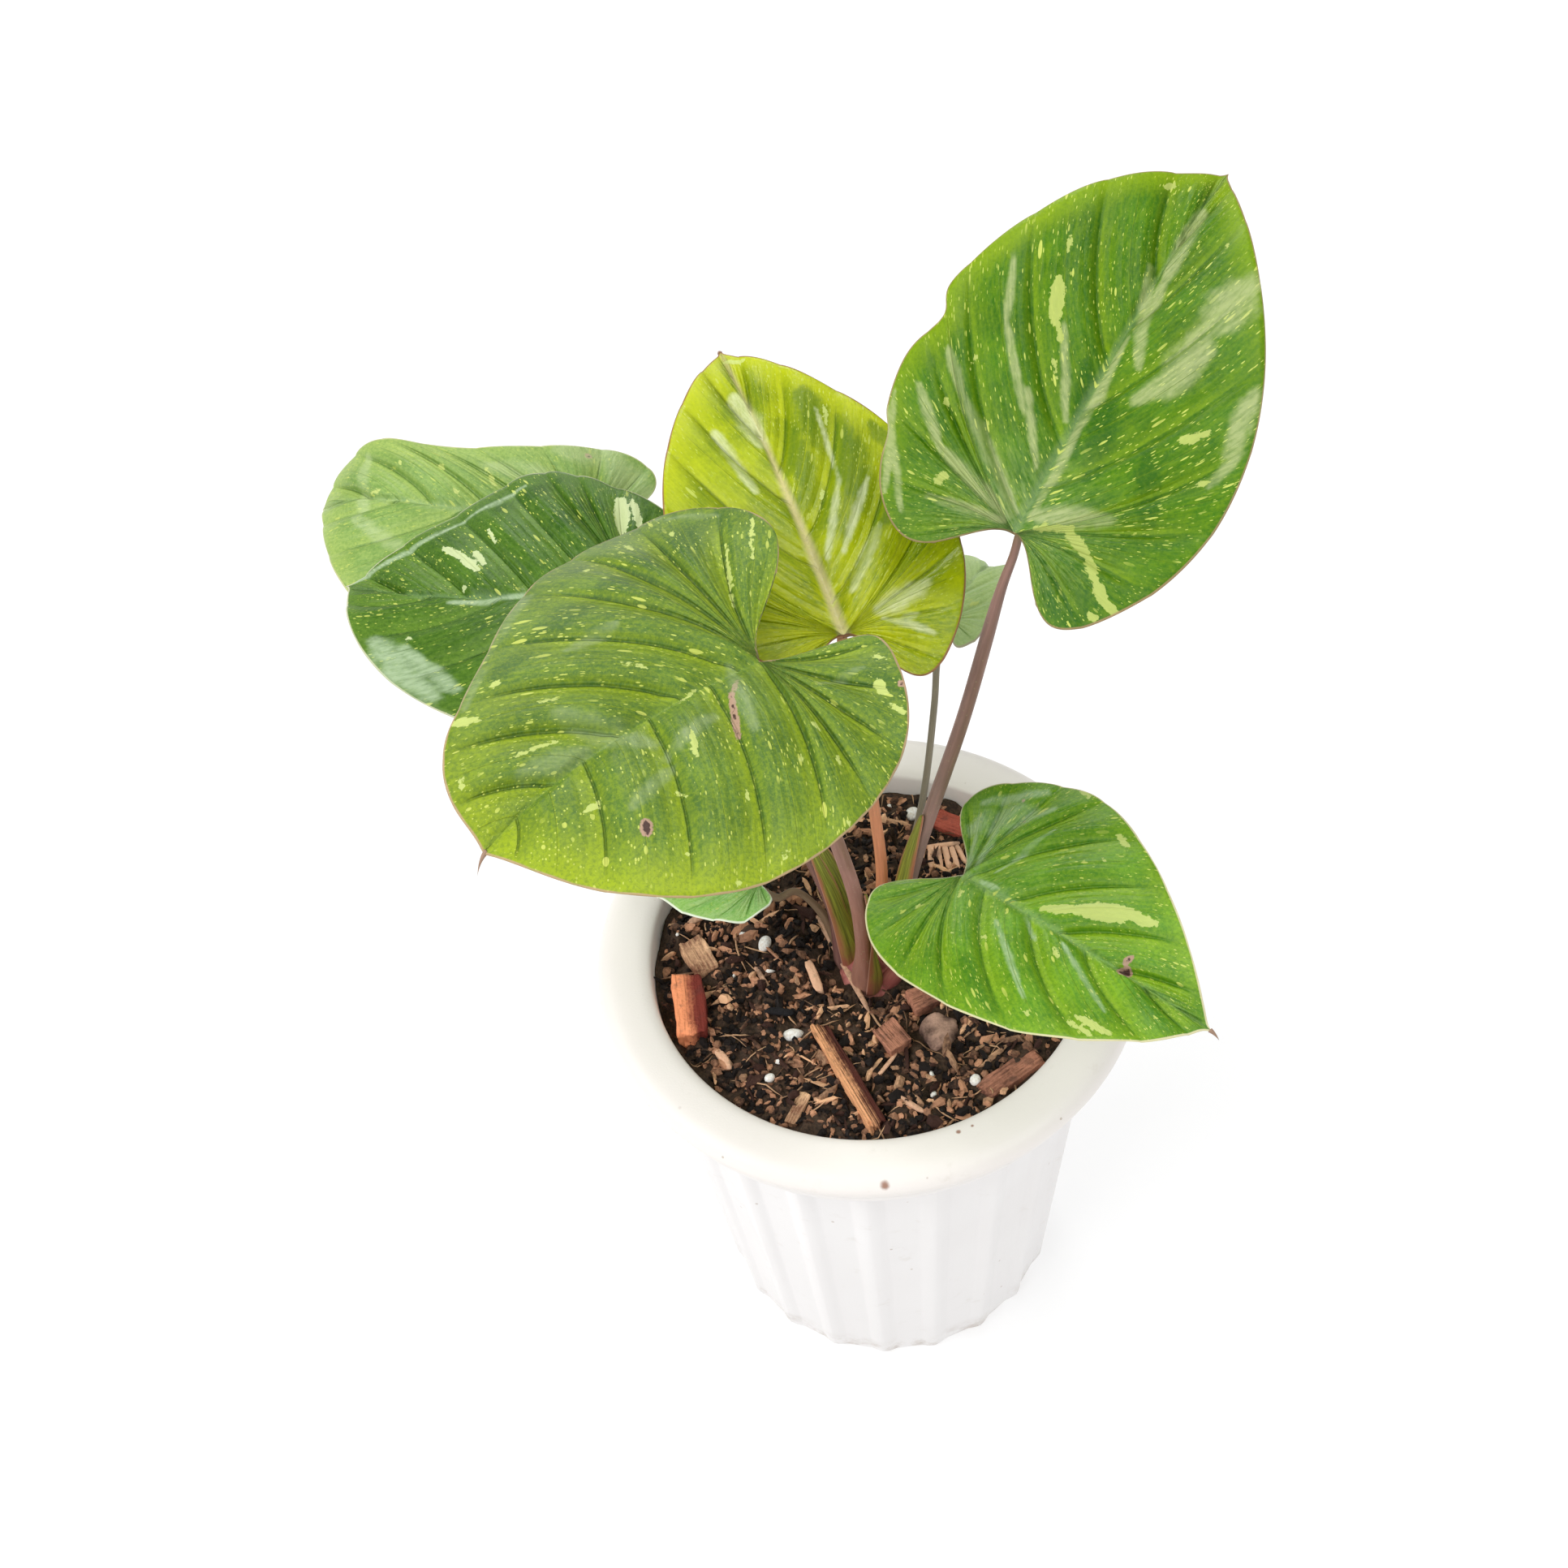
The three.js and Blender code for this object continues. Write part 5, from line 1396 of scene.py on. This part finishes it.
def blade_finish(name, leaf, green):
    """The whole blade's material: furrows, margin tint, painted shade and sheen, patches, flecks, scars
    and underside.
    """
    finish = Finish("blade_" + name, IOR=1.45, Specular_IOR_Level=green["shine"])
    t, s = finish.layer("vein")
    u, v = finish.layer("flat")
    margin, from_midrib = finish.layer("edge")
    patch_distance, scar_distance = finish.layer("marks")
    face = finish.layer("face")[0]
    flat = finish.vector(u, v)
    reach = abs(s)
    beside, panel = finish.layer("furrow")
    from_vein = abs(beside)
    fading = finish.step(reach, 1.0, 0.72) * finish.step(panel, 1.0, 4.0)
    furrow = finish.step(from_vein, 0.6, 0.08) * fading
    painted_shoulder_sheen = finish.step(from_vein, 0.5, 1.1) * finish.step(from_vein, 3.2, 1.2) * fading
    angle = t * (np.pi * leaf["veins"] * 5)
    fine = abs(finish.node("ShaderNodeMath", {"operation": "COSINE"}, {0: angle}))
    cloud = finish.noise(flat, 22.0, 3.0)
    grain = finish.noise(finish.vector(t * 160, s * 12), 1.0, 4.0, 0.6)
    tissue = finish.noise(flat, 1.3, 4.0, 0.7)
    colour = finish.mix(finish.step(cloud, 0.25, 0.75), green["deep"], green["leaf"])
    # Painted shade: a deeper green towards each vein.
    colour = finish.mix(finish.step(from_vein, 5.0, 0.0) * 0.35, colour, green["deep"])
    colour = finish.mix(finish.step(grain, 0.3, 0.8) * 0.35, colour, green["light"])
    border = finish.step(margin + cloud * 12 - 6, green["edge_reach"], 0.5) * green["edge_light"]
    side_share, tip_share, start = green["edge_way"]
    border = border * finish.step(v * side_share + u * tip_share, -start, 1 - start)
    colour = finish.mix(border, colour, green["light"])
    # Painted sheen and painted shade: strengths from the listed lines, broken by noise. The painted
    # shade mixes in the deep green.
    painted_sheen, shade = finish.layer("bloom")
    broken = (finish.noise(flat, 5.0, 4.0, 0.6) - 0.5) * 1.1
    colour = finish.mix(finish.step(shade + broken, 0.1, 0.9) * 0.75, colour, green["deep"])
    # Painted sheen on the shoulders beside each vein.
    colour = finish.mix(painted_shoulder_sheen * 0.3, colour, green["light"])
    # Painted shade on each vein's notch side.
    painted_vein_shade = finish.step(beside, 0.0, 0.8) * finish.step(beside, 6.0, 1.0) * fading
    colour = finish.mix(painted_vein_shade * green["painted_vein_shade"], colour, green["deep"])
    # Painted highlight on each vein's tip side.
    painted_vein_highlight = finish.step(beside, 0.0, -1.6) * finish.step(beside, -8.0, -3.0) * fading
    colour = finish.mix(painted_vein_highlight * green["painted_vein_highlight"], colour, green["light"])
    # Painted shade in each vein's groove.
    colour = finish.mix(furrow * green["furrow"], colour, scaled(green["deep"], 0.7))
    near_tip = finish.step(u, 0.0, leaf["length"])
    rib = finish.step(from_midrib + near_tip * 1.4, 3.2, 0.6)
    joint = finish.node("ShaderNodeVectorMath", {"operation": "LENGTH"}, {0: flat}, "Value")
    # Painted sheen in rays round the joint, in the rib's colour or in a tint of its own.
    painted_fan_sheen = finish.step(joint, 42.0, 3.0) * finish.step(grain, 0.3, 0.7)
    painted_fan_tint = green.get("painted_fan_tint", green["rib"])
    colour = finish.mix(painted_fan_sheen * green["painted_fan_sheen"], colour, painted_fan_tint)
    colour = finish.mix(rib * green["rib_share"], colour, green["rib"])
    mottle = green["mottle"]
    colour = finish.mix(finish.step(tissue, 0.42, 0.68) * 0.22 * mottle, colour, green["light"])
    colour = finish.mix(finish.step(tissue, 0.55, 0.34) * 0.35 * mottle, colour, green["deep"])
    dots = fleck_mask(finish, t, s, 2.4 * leaf["length"], 32, 0.55, 0.40, 1.0)
    streaks = fleck_mask(finish, t, s, leaf["length"], 11, 0.78, 0.38, 7.0)
    dashes = fleck_mask(finish, t, s, 0.6 * leaf["length"], 8, 0.92, 0.34, 13.0)
    flecks = dots.high(streaks).high(dashes) * finish.step(finish.noise(flat, 16.0), 0.32, 0.56)
    colour = finish.mix(flecks * green["flecks"], colour, FLECK)
    ragged = patch_distance + (finish.noise(flat, 1.9, 4.0, 0.6) - 0.5) * 3.0 + (grain - 0.5) * 2.2
    patch = finish.step(ragged, 0.15, -0.1)
    colour = finish.mix(patch * (0.72 + 0.28 * grain), colour, green["patch"])
    scar_edge = scar_distance + (finish.noise(flat, 1.1, 3.0) - 0.5) * 1.3
    colour = finish.mix(finish.step(scar_edge, 0.5, 0.0), colour, SCAR_RIM)
    colour = finish.mix(finish.step(scar_edge, -0.3, -0.7), colour, SCAR)
    colour = finish.mix(finish.step(margin, 0.6, 0.2) * 0.85, colour, green["rim"])
    # Painted sheen: a pale colour where the lamps would be mirrored in the wax, weaker on the patches
    # and on the painted vein shade.
    bloom = finish.step(painted_sheen + broken, 0.1, 1.1) * (0.6 + 0.4 * finish.step(grain, 0.3, 0.62))
    bloom = bloom * (1 - patch) * (1 - painted_vein_shade * 0.6)
    colour = finish.mix(bloom * green["painted_sheen_share"], colour, green["bloom"])
    pale = finish.mix(0.5, green["leaf"], UNDERSIDE)
    under = finish.mix(finish.step(from_midrib, 3.0, 0.8) * 0.6, pale, UNDER_RIB)
    under = finish.mix(furrow * 0.3, under, green["light"])
    colour = finish.mix(face, under, colour)
    relief = tissue * 0.35 + grain * 0.5 + fine * 0.5 * finish.step(reach, 1.0, 0.6)
    return finish.set(
        Base_Color=colour,
        Roughness=green["gloss"] + cloud * 0.10 + (1 - face) * 0.25 + patch * 0.06 - bloom * 0.08,
        Normal=finish.bump(relief - furrow * (2 * green["furrow"]), 0.4),
    )


for name, leaf in LEAVES.items():
    points, faces, layers = join(blade_parts(name, leaf, 1) + blade_parts(name, leaf, -1))
    whole = [(points, outside_out(points, faces), layers)]
    if name in TIP_CURLS:
        whole.append(tip_curl(leaf, TIP_CURLS[name]))
    material = blade_finish(name, leaf, {**COMMON, **GREENS[name]})
    node = f"leaf_{name}_blade"
    make_piece(f"{node}_skin", *join(whole), material, "blade_" + name, [node])

# %% [markdown]
# ## Stalks
#
# Each stalk is a round tube along a smooth curve through a few points, from inside the crown
# up to its blade. A spline with a bevel could draw it, but numbers give its swellings exact
# places. A frame is carried along the curve without twisting: each ring's direction is the
# last one's with its lean along the new direction taken out.

# %% Curves and tubes
PRESSED_WIDTH = 0.6


def smooth_curve(points, count, samples=60):
    """A cubic between each two points, whose slopes at both ends depend on the neighbours and
    their distances, so that it runs smoothly through all; then sampled at even distances."""
    points = np.array(points, float)
    whole = np.concatenate([[2 * points[0] - points[1]], points, [2 * points[-1] - points[-2]]])
    pieces = []
    for p0, p1, p2, p3 in zip(whole[:-3], whole[1:-2], whole[2:-1], whole[3:]):
        d0, d1, d2 = (np.sqrt(np.linalg.norm(q - p)) for p, q in ((p0, p1), (p1, p2), (p2, p3)))
        start = ((p1 - p0) / d0 - (p2 - p0) / (d0 + d1) + (p2 - p1) / d1) * d1
        end = ((p2 - p1) / d1 - (p3 - p1) / (d1 + d2) + (p3 - p2) / d2) * d1
        x = np.linspace(0, 1, samples, endpoint=False)[:, None]
        square = 3 * (p2 - p1) - 2 * start - end
        cube = 2 * (p1 - p2) + start + end
        pieces.append(p1 + start * x + square * x**2 + cube * x**3)
    line = np.concatenate(pieces + [points[-1:]])
    run = np.concatenate([[0], np.cumsum(np.linalg.norm(np.diff(line, axis=0), axis=1))])
    even = np.linspace(0, run[-1], count)
    return np.stack([np.interp(even, run, line[:, axis]) for axis in range(3)], -1)


def carried_frames(line, first):
    """Tangents with two cross directions, carried from ring to ring without twist."""
    tangent = np.gradient(line, axis=0)
    tangent /= np.linalg.norm(tangent, axis=1, keepdims=True)
    side = np.empty_like(line)
    last = np.array(first, float)
    for i, ahead in enumerate(tangent):
        last = last - ahead * (last @ ahead)
        last /= np.linalg.norm(last)
        side[i] = last
    return tangent, side, np.cross(tangent, side)


def tube(line, radius, columns, first, flatten=0.0):
    """Rings round a line, closed at both ends; flatten presses in the side that faces `first`."""
    tangent, side, cross = carried_frames(line, first)
    around = np.arange(columns) * 2 * np.pi / columns
    press = 1 - flatten * np.exp(-(((around + np.pi) % (2 * np.pi) - np.pi) / PRESSED_WIDTH) ** 2)
    reach = radius[:, None] * press
    rings = line[:, None] + side[:, None] * (reach * np.cos(around))[..., None]
    rings = rings + cross[:, None] * (reach * np.sin(around))[..., None]
    ends = [np.repeat(line[i][None, None], columns, axis=1) for i in (0, -1)]
    points = np.concatenate([ends[0], rings, ends[1]])
    run = np.linspace(0, 1, len(line))
    run = np.concatenate([[0], run, [1]])[:, None] + np.zeros(columns)
    share = np.tile(around / (2 * np.pi), (len(run), 1))
    layers = {"tube": np.stack([run, share], -1).reshape(-1, 2)}
    return points.reshape(-1, 3), sheet_faces(len(points), columns, closed=True, flip=True), layers


trial = smooth_curve([(0, 0, 0), (4, 0, 0), (8, 3, 0)], 4)
print("a curve through three points:", trial.round(1).tolist())

# %% [markdown]
# A stalk leaves the crown close to its neighbours, leans out, and meets its blade from behind.
# So its middle line goes through a few given points and then through two more that follow from
# the blade: one behind and below the joint, and one just under the midrib. Where a stalk is
# hidden behind the blades, its points are the plainest way between crown and joint.

# %% Stalk lines
# way: points up the middle line. radius: at the foot and at the top. neck: how far below the
# joint the stalk starts to widen, and by what share; below 0 it thins.
STALKS = {
    "tall_right": dict(
        way=[(8, 2, 172), (9.5, 3, 186), (18, 9, 230), (39, 18, 304), (53, 25, 360)],
        radius=(2.9, 2.2), neck=(48, -0.36)),
    "young_middle": dict(
        way=[(3, 9.5, 172), (3.5, 9.8, 186), (7, 11, 225), (6, 13, 263), (3.5, 14.5, 310)],
        radius=(2.3, 1.8)),
    "broad_front": dict(
        way=[(-2, -8.5, 172), (-2, -8.7, 186), (-2.5, -11, 238), (-9, -14.5, 290), (-17, -17.5, 345)],
        radius=(2.9, 2.3)),
    "low_right": dict(
        way=[(5, -8, 172), (6, -8.5, 184), (11, -11, 198), (21, -15, 224)], radius=(2.1, 1.6)),
    "left": dict(
        way=[(-8, 1.5, 172), (-8.2, 2, 185), (-12, 9, 212), (-24, 21, 248), (-47, 41, 296)],
        radius=(2.5, 2)),
    "far_left": dict(
        way=[(-4, 8.5, 172), (-4.5, 9.5, 185), (-10, 20, 211), (-30, 48, 245), (-60, 84, 280)],
        radius=(2.5, 2)),
    "small_behind": dict(
        way=[(9, 8.5, 172), (10, 9.8, 184), (14, 18, 206), (24, 35, 236), (30.5, 52, 268)],
        radius=(1.4, 1.2)),
    "small_low": dict(
        way=[(-9.5, 6.3, 172), (-9.8, 6.5, 184), (-12, 8.5, 194), (-17, 12.5, 205), (-25, 15.5, 213)],
        radius=(1.5, 1.2)),
}
STALK_UNDER = (4.0, 9.0)
STALK_END = 1.2


def stalk_line(name, count):
    """The stalk's middle line: through its points, then up behind the joint and under the blade."""
    leaf = LEAVES[name]
    along, left, up = leaf_frame(leaf)
    joint = np.array(leaf["at"], float)
    below = joint - along * STALK_UNDER[0] - up * STALK_UNDER[1]
    last = joint + along * STALK_UNDER[0] - up * STALK_END
    return smooth_curve([*STALKS[name]["way"], below, last], count)


for name in STALKS:
    line = stalk_line(name, 50)
    print(name, "stalk is", np.linalg.norm(np.diff(line, axis=0), axis=1).sum().round(), "mm long")

# %% [markdown]
# A stalk thins upwards, swells or narrows below its blade and is widest where it leaves the
# crown. Its colour runs from one tint at the crown to another near the blade, mauve, pink or
# brown from leaf to leaf. Fine pale and dark lines run along it, tiny specks sit between them,
# and the last bit under the blade turns green. Noise that is stretched along the tube's own
# coordinates draws the lines, and so they follow every bend.

# %% Stalk finish and pieces
STALK_RINGS = 120
STALK_SIDES = 28
STALK_PRESS = 0.10
FOOT_SWELL = 0.85
FOOT_HEIGHTS = (186, 212)
TOP_TAPER = 0.55
STALK_TINTS = {
    "tall_right": dict(slot="stalk_mauve", low=(0.31, 0.22, 0.18), high=(0.27, 0.15, 0.12)),
    "young_middle": dict(slot="stalk_pink", low=(0.72, 0.28, 0.13), high=(0.60, 0.26, 0.14)),
    "broad_front": dict(slot="stalk_mauve", low=(0.36, 0.17, 0.12), high=(0.30, 0.17, 0.14)),
    "low_right": dict(slot="stalk_pink", low=(0.34, 0.09, 0.08), high=(0.34, 0.16, 0.11)),
    "left": dict(slot="stalk_brown", low=(0.20, 0.09, 0.08), high=(0.26, 0.16, 0.11)),
    "far_left": dict(slot="stalk_brown", low=(0.17, 0.13, 0.06), high=(0.25, 0.19, 0.10)),
    "small_behind": dict(slot="stalk_thin", low=(0.18, 0.16, 0.11), high=(0.24, 0.21, 0.15)),
    "small_low": dict(slot="stalk_thin", low=(0.24, 0.14, 0.08), high=(0.26, 0.18, 0.11)),
}


def stalk_finish(name, tint, length):
    """A gradient along the stalk with lines, specks and a soft gloss."""
    finish = Finish("stalk_" + name, IOR=1.42)
    run, round_about = finish.layer("tube")
    point = finish.place()
    lines = finish.noise(finish.vector(run * (length / 14.0), round_about * 16.0), 1.0, 3.0, 0.6)
    cloud = finish.noise(point, 14.0, 3.0)
    distance, chance = finish.cells(finish.vector(run * (length / 1.6), round_about * 12.0), 1.0)
    specks = finish.step(distance, 0.3, 0.12) * finish.step(chance, 0.6, 0.75)
    colour = finish.mix(finish.step(run + (cloud - 0.5) * 0.3, 0.1, 0.7), tint["low"], tint["high"])
    colour = finish.mix(finish.step(lines, 0.45, 0.75) * 0.35, colour, scaled(tint["high"], 1.7))
    colour = finish.mix(finish.step(lines, 0.45, 0.2) * 0.45, colour, scaled(tint["low"], 0.5))
    colour = finish.mix(specks * 0.35, colour, (0.42, 0.36, 0.2))
    colour = finish.mix(finish.step(run, 0.955, 1.0) * 0.5, colour, (0.20, 0.20, 0.07))
    return finish.set(
        Base_Color=colour,
        Roughness=0.42 + cloud * 0.15,
        Normal=finish.bump(lines + specks * 0.3, 0.15),
    )


for name, stalk in STALKS.items():
    line = stalk_line(name, STALK_RINGS)
    length = np.linalg.norm(np.diff(line, axis=0), axis=1).sum()
    run = np.linspace(0, 1, len(line))
    radius = stalk["radius"][0] + (stalk["radius"][1] - stalk["radius"][0]) * run
    neck_length, swell = stalk.get("neck", (24, 0.22))
    radius = radius * (1 + swell * ease(length - neck_length, length - 8, run * length))
    radius = radius * (1 - TOP_TAPER * ease(length - 7, length, run * length))
    radius = radius * (1 + FOOT_SWELL * (1 - ease(*FOOT_HEIGHTS, line[:, 2])))
    inward = np.array([*CROWN_AT, 200.0]) - line[20]
    points, faces, layers = tube(line, radius, STALK_SIDES, inward, flatten=STALK_PRESS)
    faces = outside_out(points, faces)
    tint = STALK_TINTS[name]
    node = f"leaf_{name}_stalk"
    material = stalk_finish(name, tint, length)
    make_piece(f"{node}_skin", points, faces, layers, material, tint["slot"], [node])

# %% [markdown]
# ## Sheaths
#
# The lower part of the older stalks is wrapped on its inner side by a thin sheath, olive green
# with red edges, that narrows to a free tip. It is a strip bent round the stalk: an angle round
# the stalk's middle line and a height along it. A copy of the strip a little further out gives
# it its thickness, and four narrow strips close the sides, so that it is a thin closed body.

# %% Sheaths
# low and high: the heights between which it stands. spread: how many degrees it covers to each
# side. turn: how far it is turned from the crown's middle. flare: how far its edges stand off.
SHEATHS = {
    "tall_right": dict(low=186, high=258, spread=86, turn=0),
    "broad_front": dict(low=186, high=246, spread=84, turn=-78, flare=3.2),
    "left": dict(low=186, high=240, spread=88, turn=0),
    "far_left": dict(low=187, high=228, spread=86, turn=0),
}
SHEATH_GAP = 0.35
SHEATH_THICKNESS = 0.9
SHEATH_FLARE = 1.7
SHEATH_CREASE = 0.25


def sheath_parts(name, sheath, rows=70, columns=28):
    """Inner strip, outer strip and the four strips between their sides. The spread shrinks with
    the root of the way left to the tip; the sides flare most at half height."""
    line = stalk_line(name, 400)
    inside = (line[:, 2] > sheath["low"]) & (line[:, 2] < sheath["high"])
    tangent = np.gradient(line, axis=0)[inside]
    tangent /= np.linalg.norm(tangent, axis=1, keepdims=True)
    line = line[inside]
    pick = np.linspace(0, len(line) - 1, rows).astype(int)
    line, tangent = line[pick], tangent[pick]
    inward = np.array([*CROWN_AT, 0]) - line
    inward[:, 2] = 0
    c, s = np.cos(np.radians(sheath["turn"])), np.sin(np.radians(sheath["turn"]))
    x, y, z = inward.T
    inward = np.stack([c * x - s * y, s * x + c * y, z], -1)
    inward -= tangent * (inward * tangent).sum(1, keepdims=True)
    inward /= np.linalg.norm(inward, axis=1, keepdims=True)
    sideways = np.cross(tangent, inward)
    up = np.linspace(0, 1, rows)[:, None]
    across = np.linspace(-1, 1, columns)[None, :]
    angle = across * np.radians(sheath["spread"]) * (0.06 + 0.94 * np.sqrt(1 - up))
    stalk = STALKS[name]["radius"][0]
    flare = sheath.get("flare", SHEATH_FLARE) * np.abs(across) ** 2 * np.sin(np.pi * up)
    crease = SHEATH_CREASE * np.cos(across * 9)
    foot = stalk * FOOT_SWELL * (1 - ease(*FOOT_HEIGHTS, line[:, 2:3]))
    strips = []
    for out in (0.0, 1.0):
        reach = stalk + SHEATH_GAP + out * SHEATH_THICKNESS * (1 - 0.7 * np.abs(across) ** 2) + flare
        reach = reach + crease * out * 0.6 + foot
        strip = line[:, None] + inward[:, None] * (reach * np.cos(angle))[..., None]
        strips.append(strip + sideways[:, None] * (reach * np.sin(angle))[..., None])
    inner, outer = strips
    uv = np.stack(np.broadcast_arrays(across, up), -1)
    def part(surface, coordinates, flip):
        faces = sheet_faces(*surface.shape[:2], flip=flip)
        return surface.reshape(-1, 3), faces, {"sheath": coordinates.reshape(-1, 2)}
    parts = [part(outer, uv, False), part(inner, uv, True)]
    first, last = np.s_[:, 0], np.s_[:, -1]
    for side, flip in ((first, False), (last, True), (0, True), (-1, False)):
        parts.append(part(np.stack([outer[side], inner[side]]), np.stack([uv[side], uv[side]]), flip))
    return parts


def sheath_finish():
    """Olive green in the middle, red along both edges, with fine lines along it."""
    finish = Finish("sheath_green", IOR=1.42)
    across, up = finish.layer("sheath")
    point = finish.place()
    lines = finish.noise(finish.vector(across * 7, up * 3), 1.0, 3.0)
    cloud = finish.noise(point, 7.0, 3.0)
    edge = finish.step(abs(across) + (cloud - 0.5) * 0.5, 0.45, 0.95)
    colour = finish.mix(finish.step(lines, 0.35, 0.7), (0.15, 0.17, 0.02), (0.38, 0.42, 0.05))
    colour = finish.mix(edge * 0.85, colour, (0.42, 0.13, 0.08))
    colour = finish.mix(finish.step(up, 0.25, 0.0) * 0.7, colour, (0.30, 0.08, 0.065))
    colour = finish.mix(finish.step(abs(across), 0.93, 0.99) * 0.6, colour, (0.55, 0.33, 0.25))
    return finish.set(Base_Color=colour, Roughness=0.4 + cloud * 0.15, Normal=finish.bump(lines, 0.3))


sheath_material = sheath_finish()
for name, sheath in SHEATHS.items():
    points, faces, layers = join(sheath_parts(name, sheath))
    faces = outside_out(points, faces)
    node = f"leaf_{name}_sheath"
    make_piece(f"{node}_skin", points, faces, layers, sheath_material, "sheath_green", [node])

# %% [markdown]
# ## Crown
#
# The crown is the low dark red dome that all the stalks leave, with the worn ends of older
# sheaths on it. It could be sculpted, but most of it is hidden between the stalks and the soil,
# so a profile turned round an upright axis is enough. Eight low swellings stand for the worn
# ends: the absolute value of a sine round the dome, which leans a little with the height.

# %% Crown
CROWN_PROFILE = [(0, 168), (12, 168), (14.5, 176), (13.0, 184), (9.5, 188.5), (5.5, 191), (0, 192)]
CROWN_ROWS = 60
CROWN_COLUMNS = 90
WRAP_WAVES = 4
WRAP_HEIGHT = 0.9
WRAP_LEAN = 0.12
corner_radius, corner_z = np.array(CROWN_PROFILE, float).T
crown_run = np.linspace(0, len(CROWN_PROFILE) - 1, CROWN_ROWS)
crown_radius = np.interp(crown_run, np.arange(len(CROWN_PROFILE)), corner_radius)[:, None]
crown_z = np.interp(crown_run, np.arange(len(CROWN_PROFILE)), corner_z)[:, None]
crown_turn = np.arange(CROWN_COLUMNS)[None, :] * 2 * np.pi / CROWN_COLUMNS
wraps = WRAP_HEIGHT * np.abs(np.sin(crown_turn * WRAP_WAVES + WRAP_LEAN * crown_z))
wraps = wraps * np.minimum(1, crown_radius / 6)
crown_reach = crown_radius + wraps - 0.6 * np.minimum(1, crown_radius)
crown_points = np.stack([
    CROWN_AT[0] + crown_reach * np.cos(crown_turn),
    CROWN_AT[1] + crown_reach * np.sin(crown_turn),
    crown_z + 0.5 * wraps,
], -1).reshape(-1, 3)
crown_faces = outside_out(crown_points, sheet_faces(CROWN_ROWS, CROWN_COLUMNS, closed=True))
crown_finish = Finish("crown_tissue", IOR=1.42)
crown_cloud = crown_finish.noise(crown_finish.place(), 5.0, 4.0)
crown_share = crown_finish.step(crown_cloud, 0.3, 0.7)
crown_material = crown_finish.set(
    Base_Color=crown_finish.mix(crown_share, (0.25, 0.055, 0.05), (0.68, 0.25, 0.21)),
    Roughness=0.45 + crown_cloud * 0.2,
    Normal=crown_finish.bump(crown_cloud, 0.5),
)
make_piece("crown_dome", crown_points, crown_faces, {}, crown_material, "crown_tissue", ["crown"])
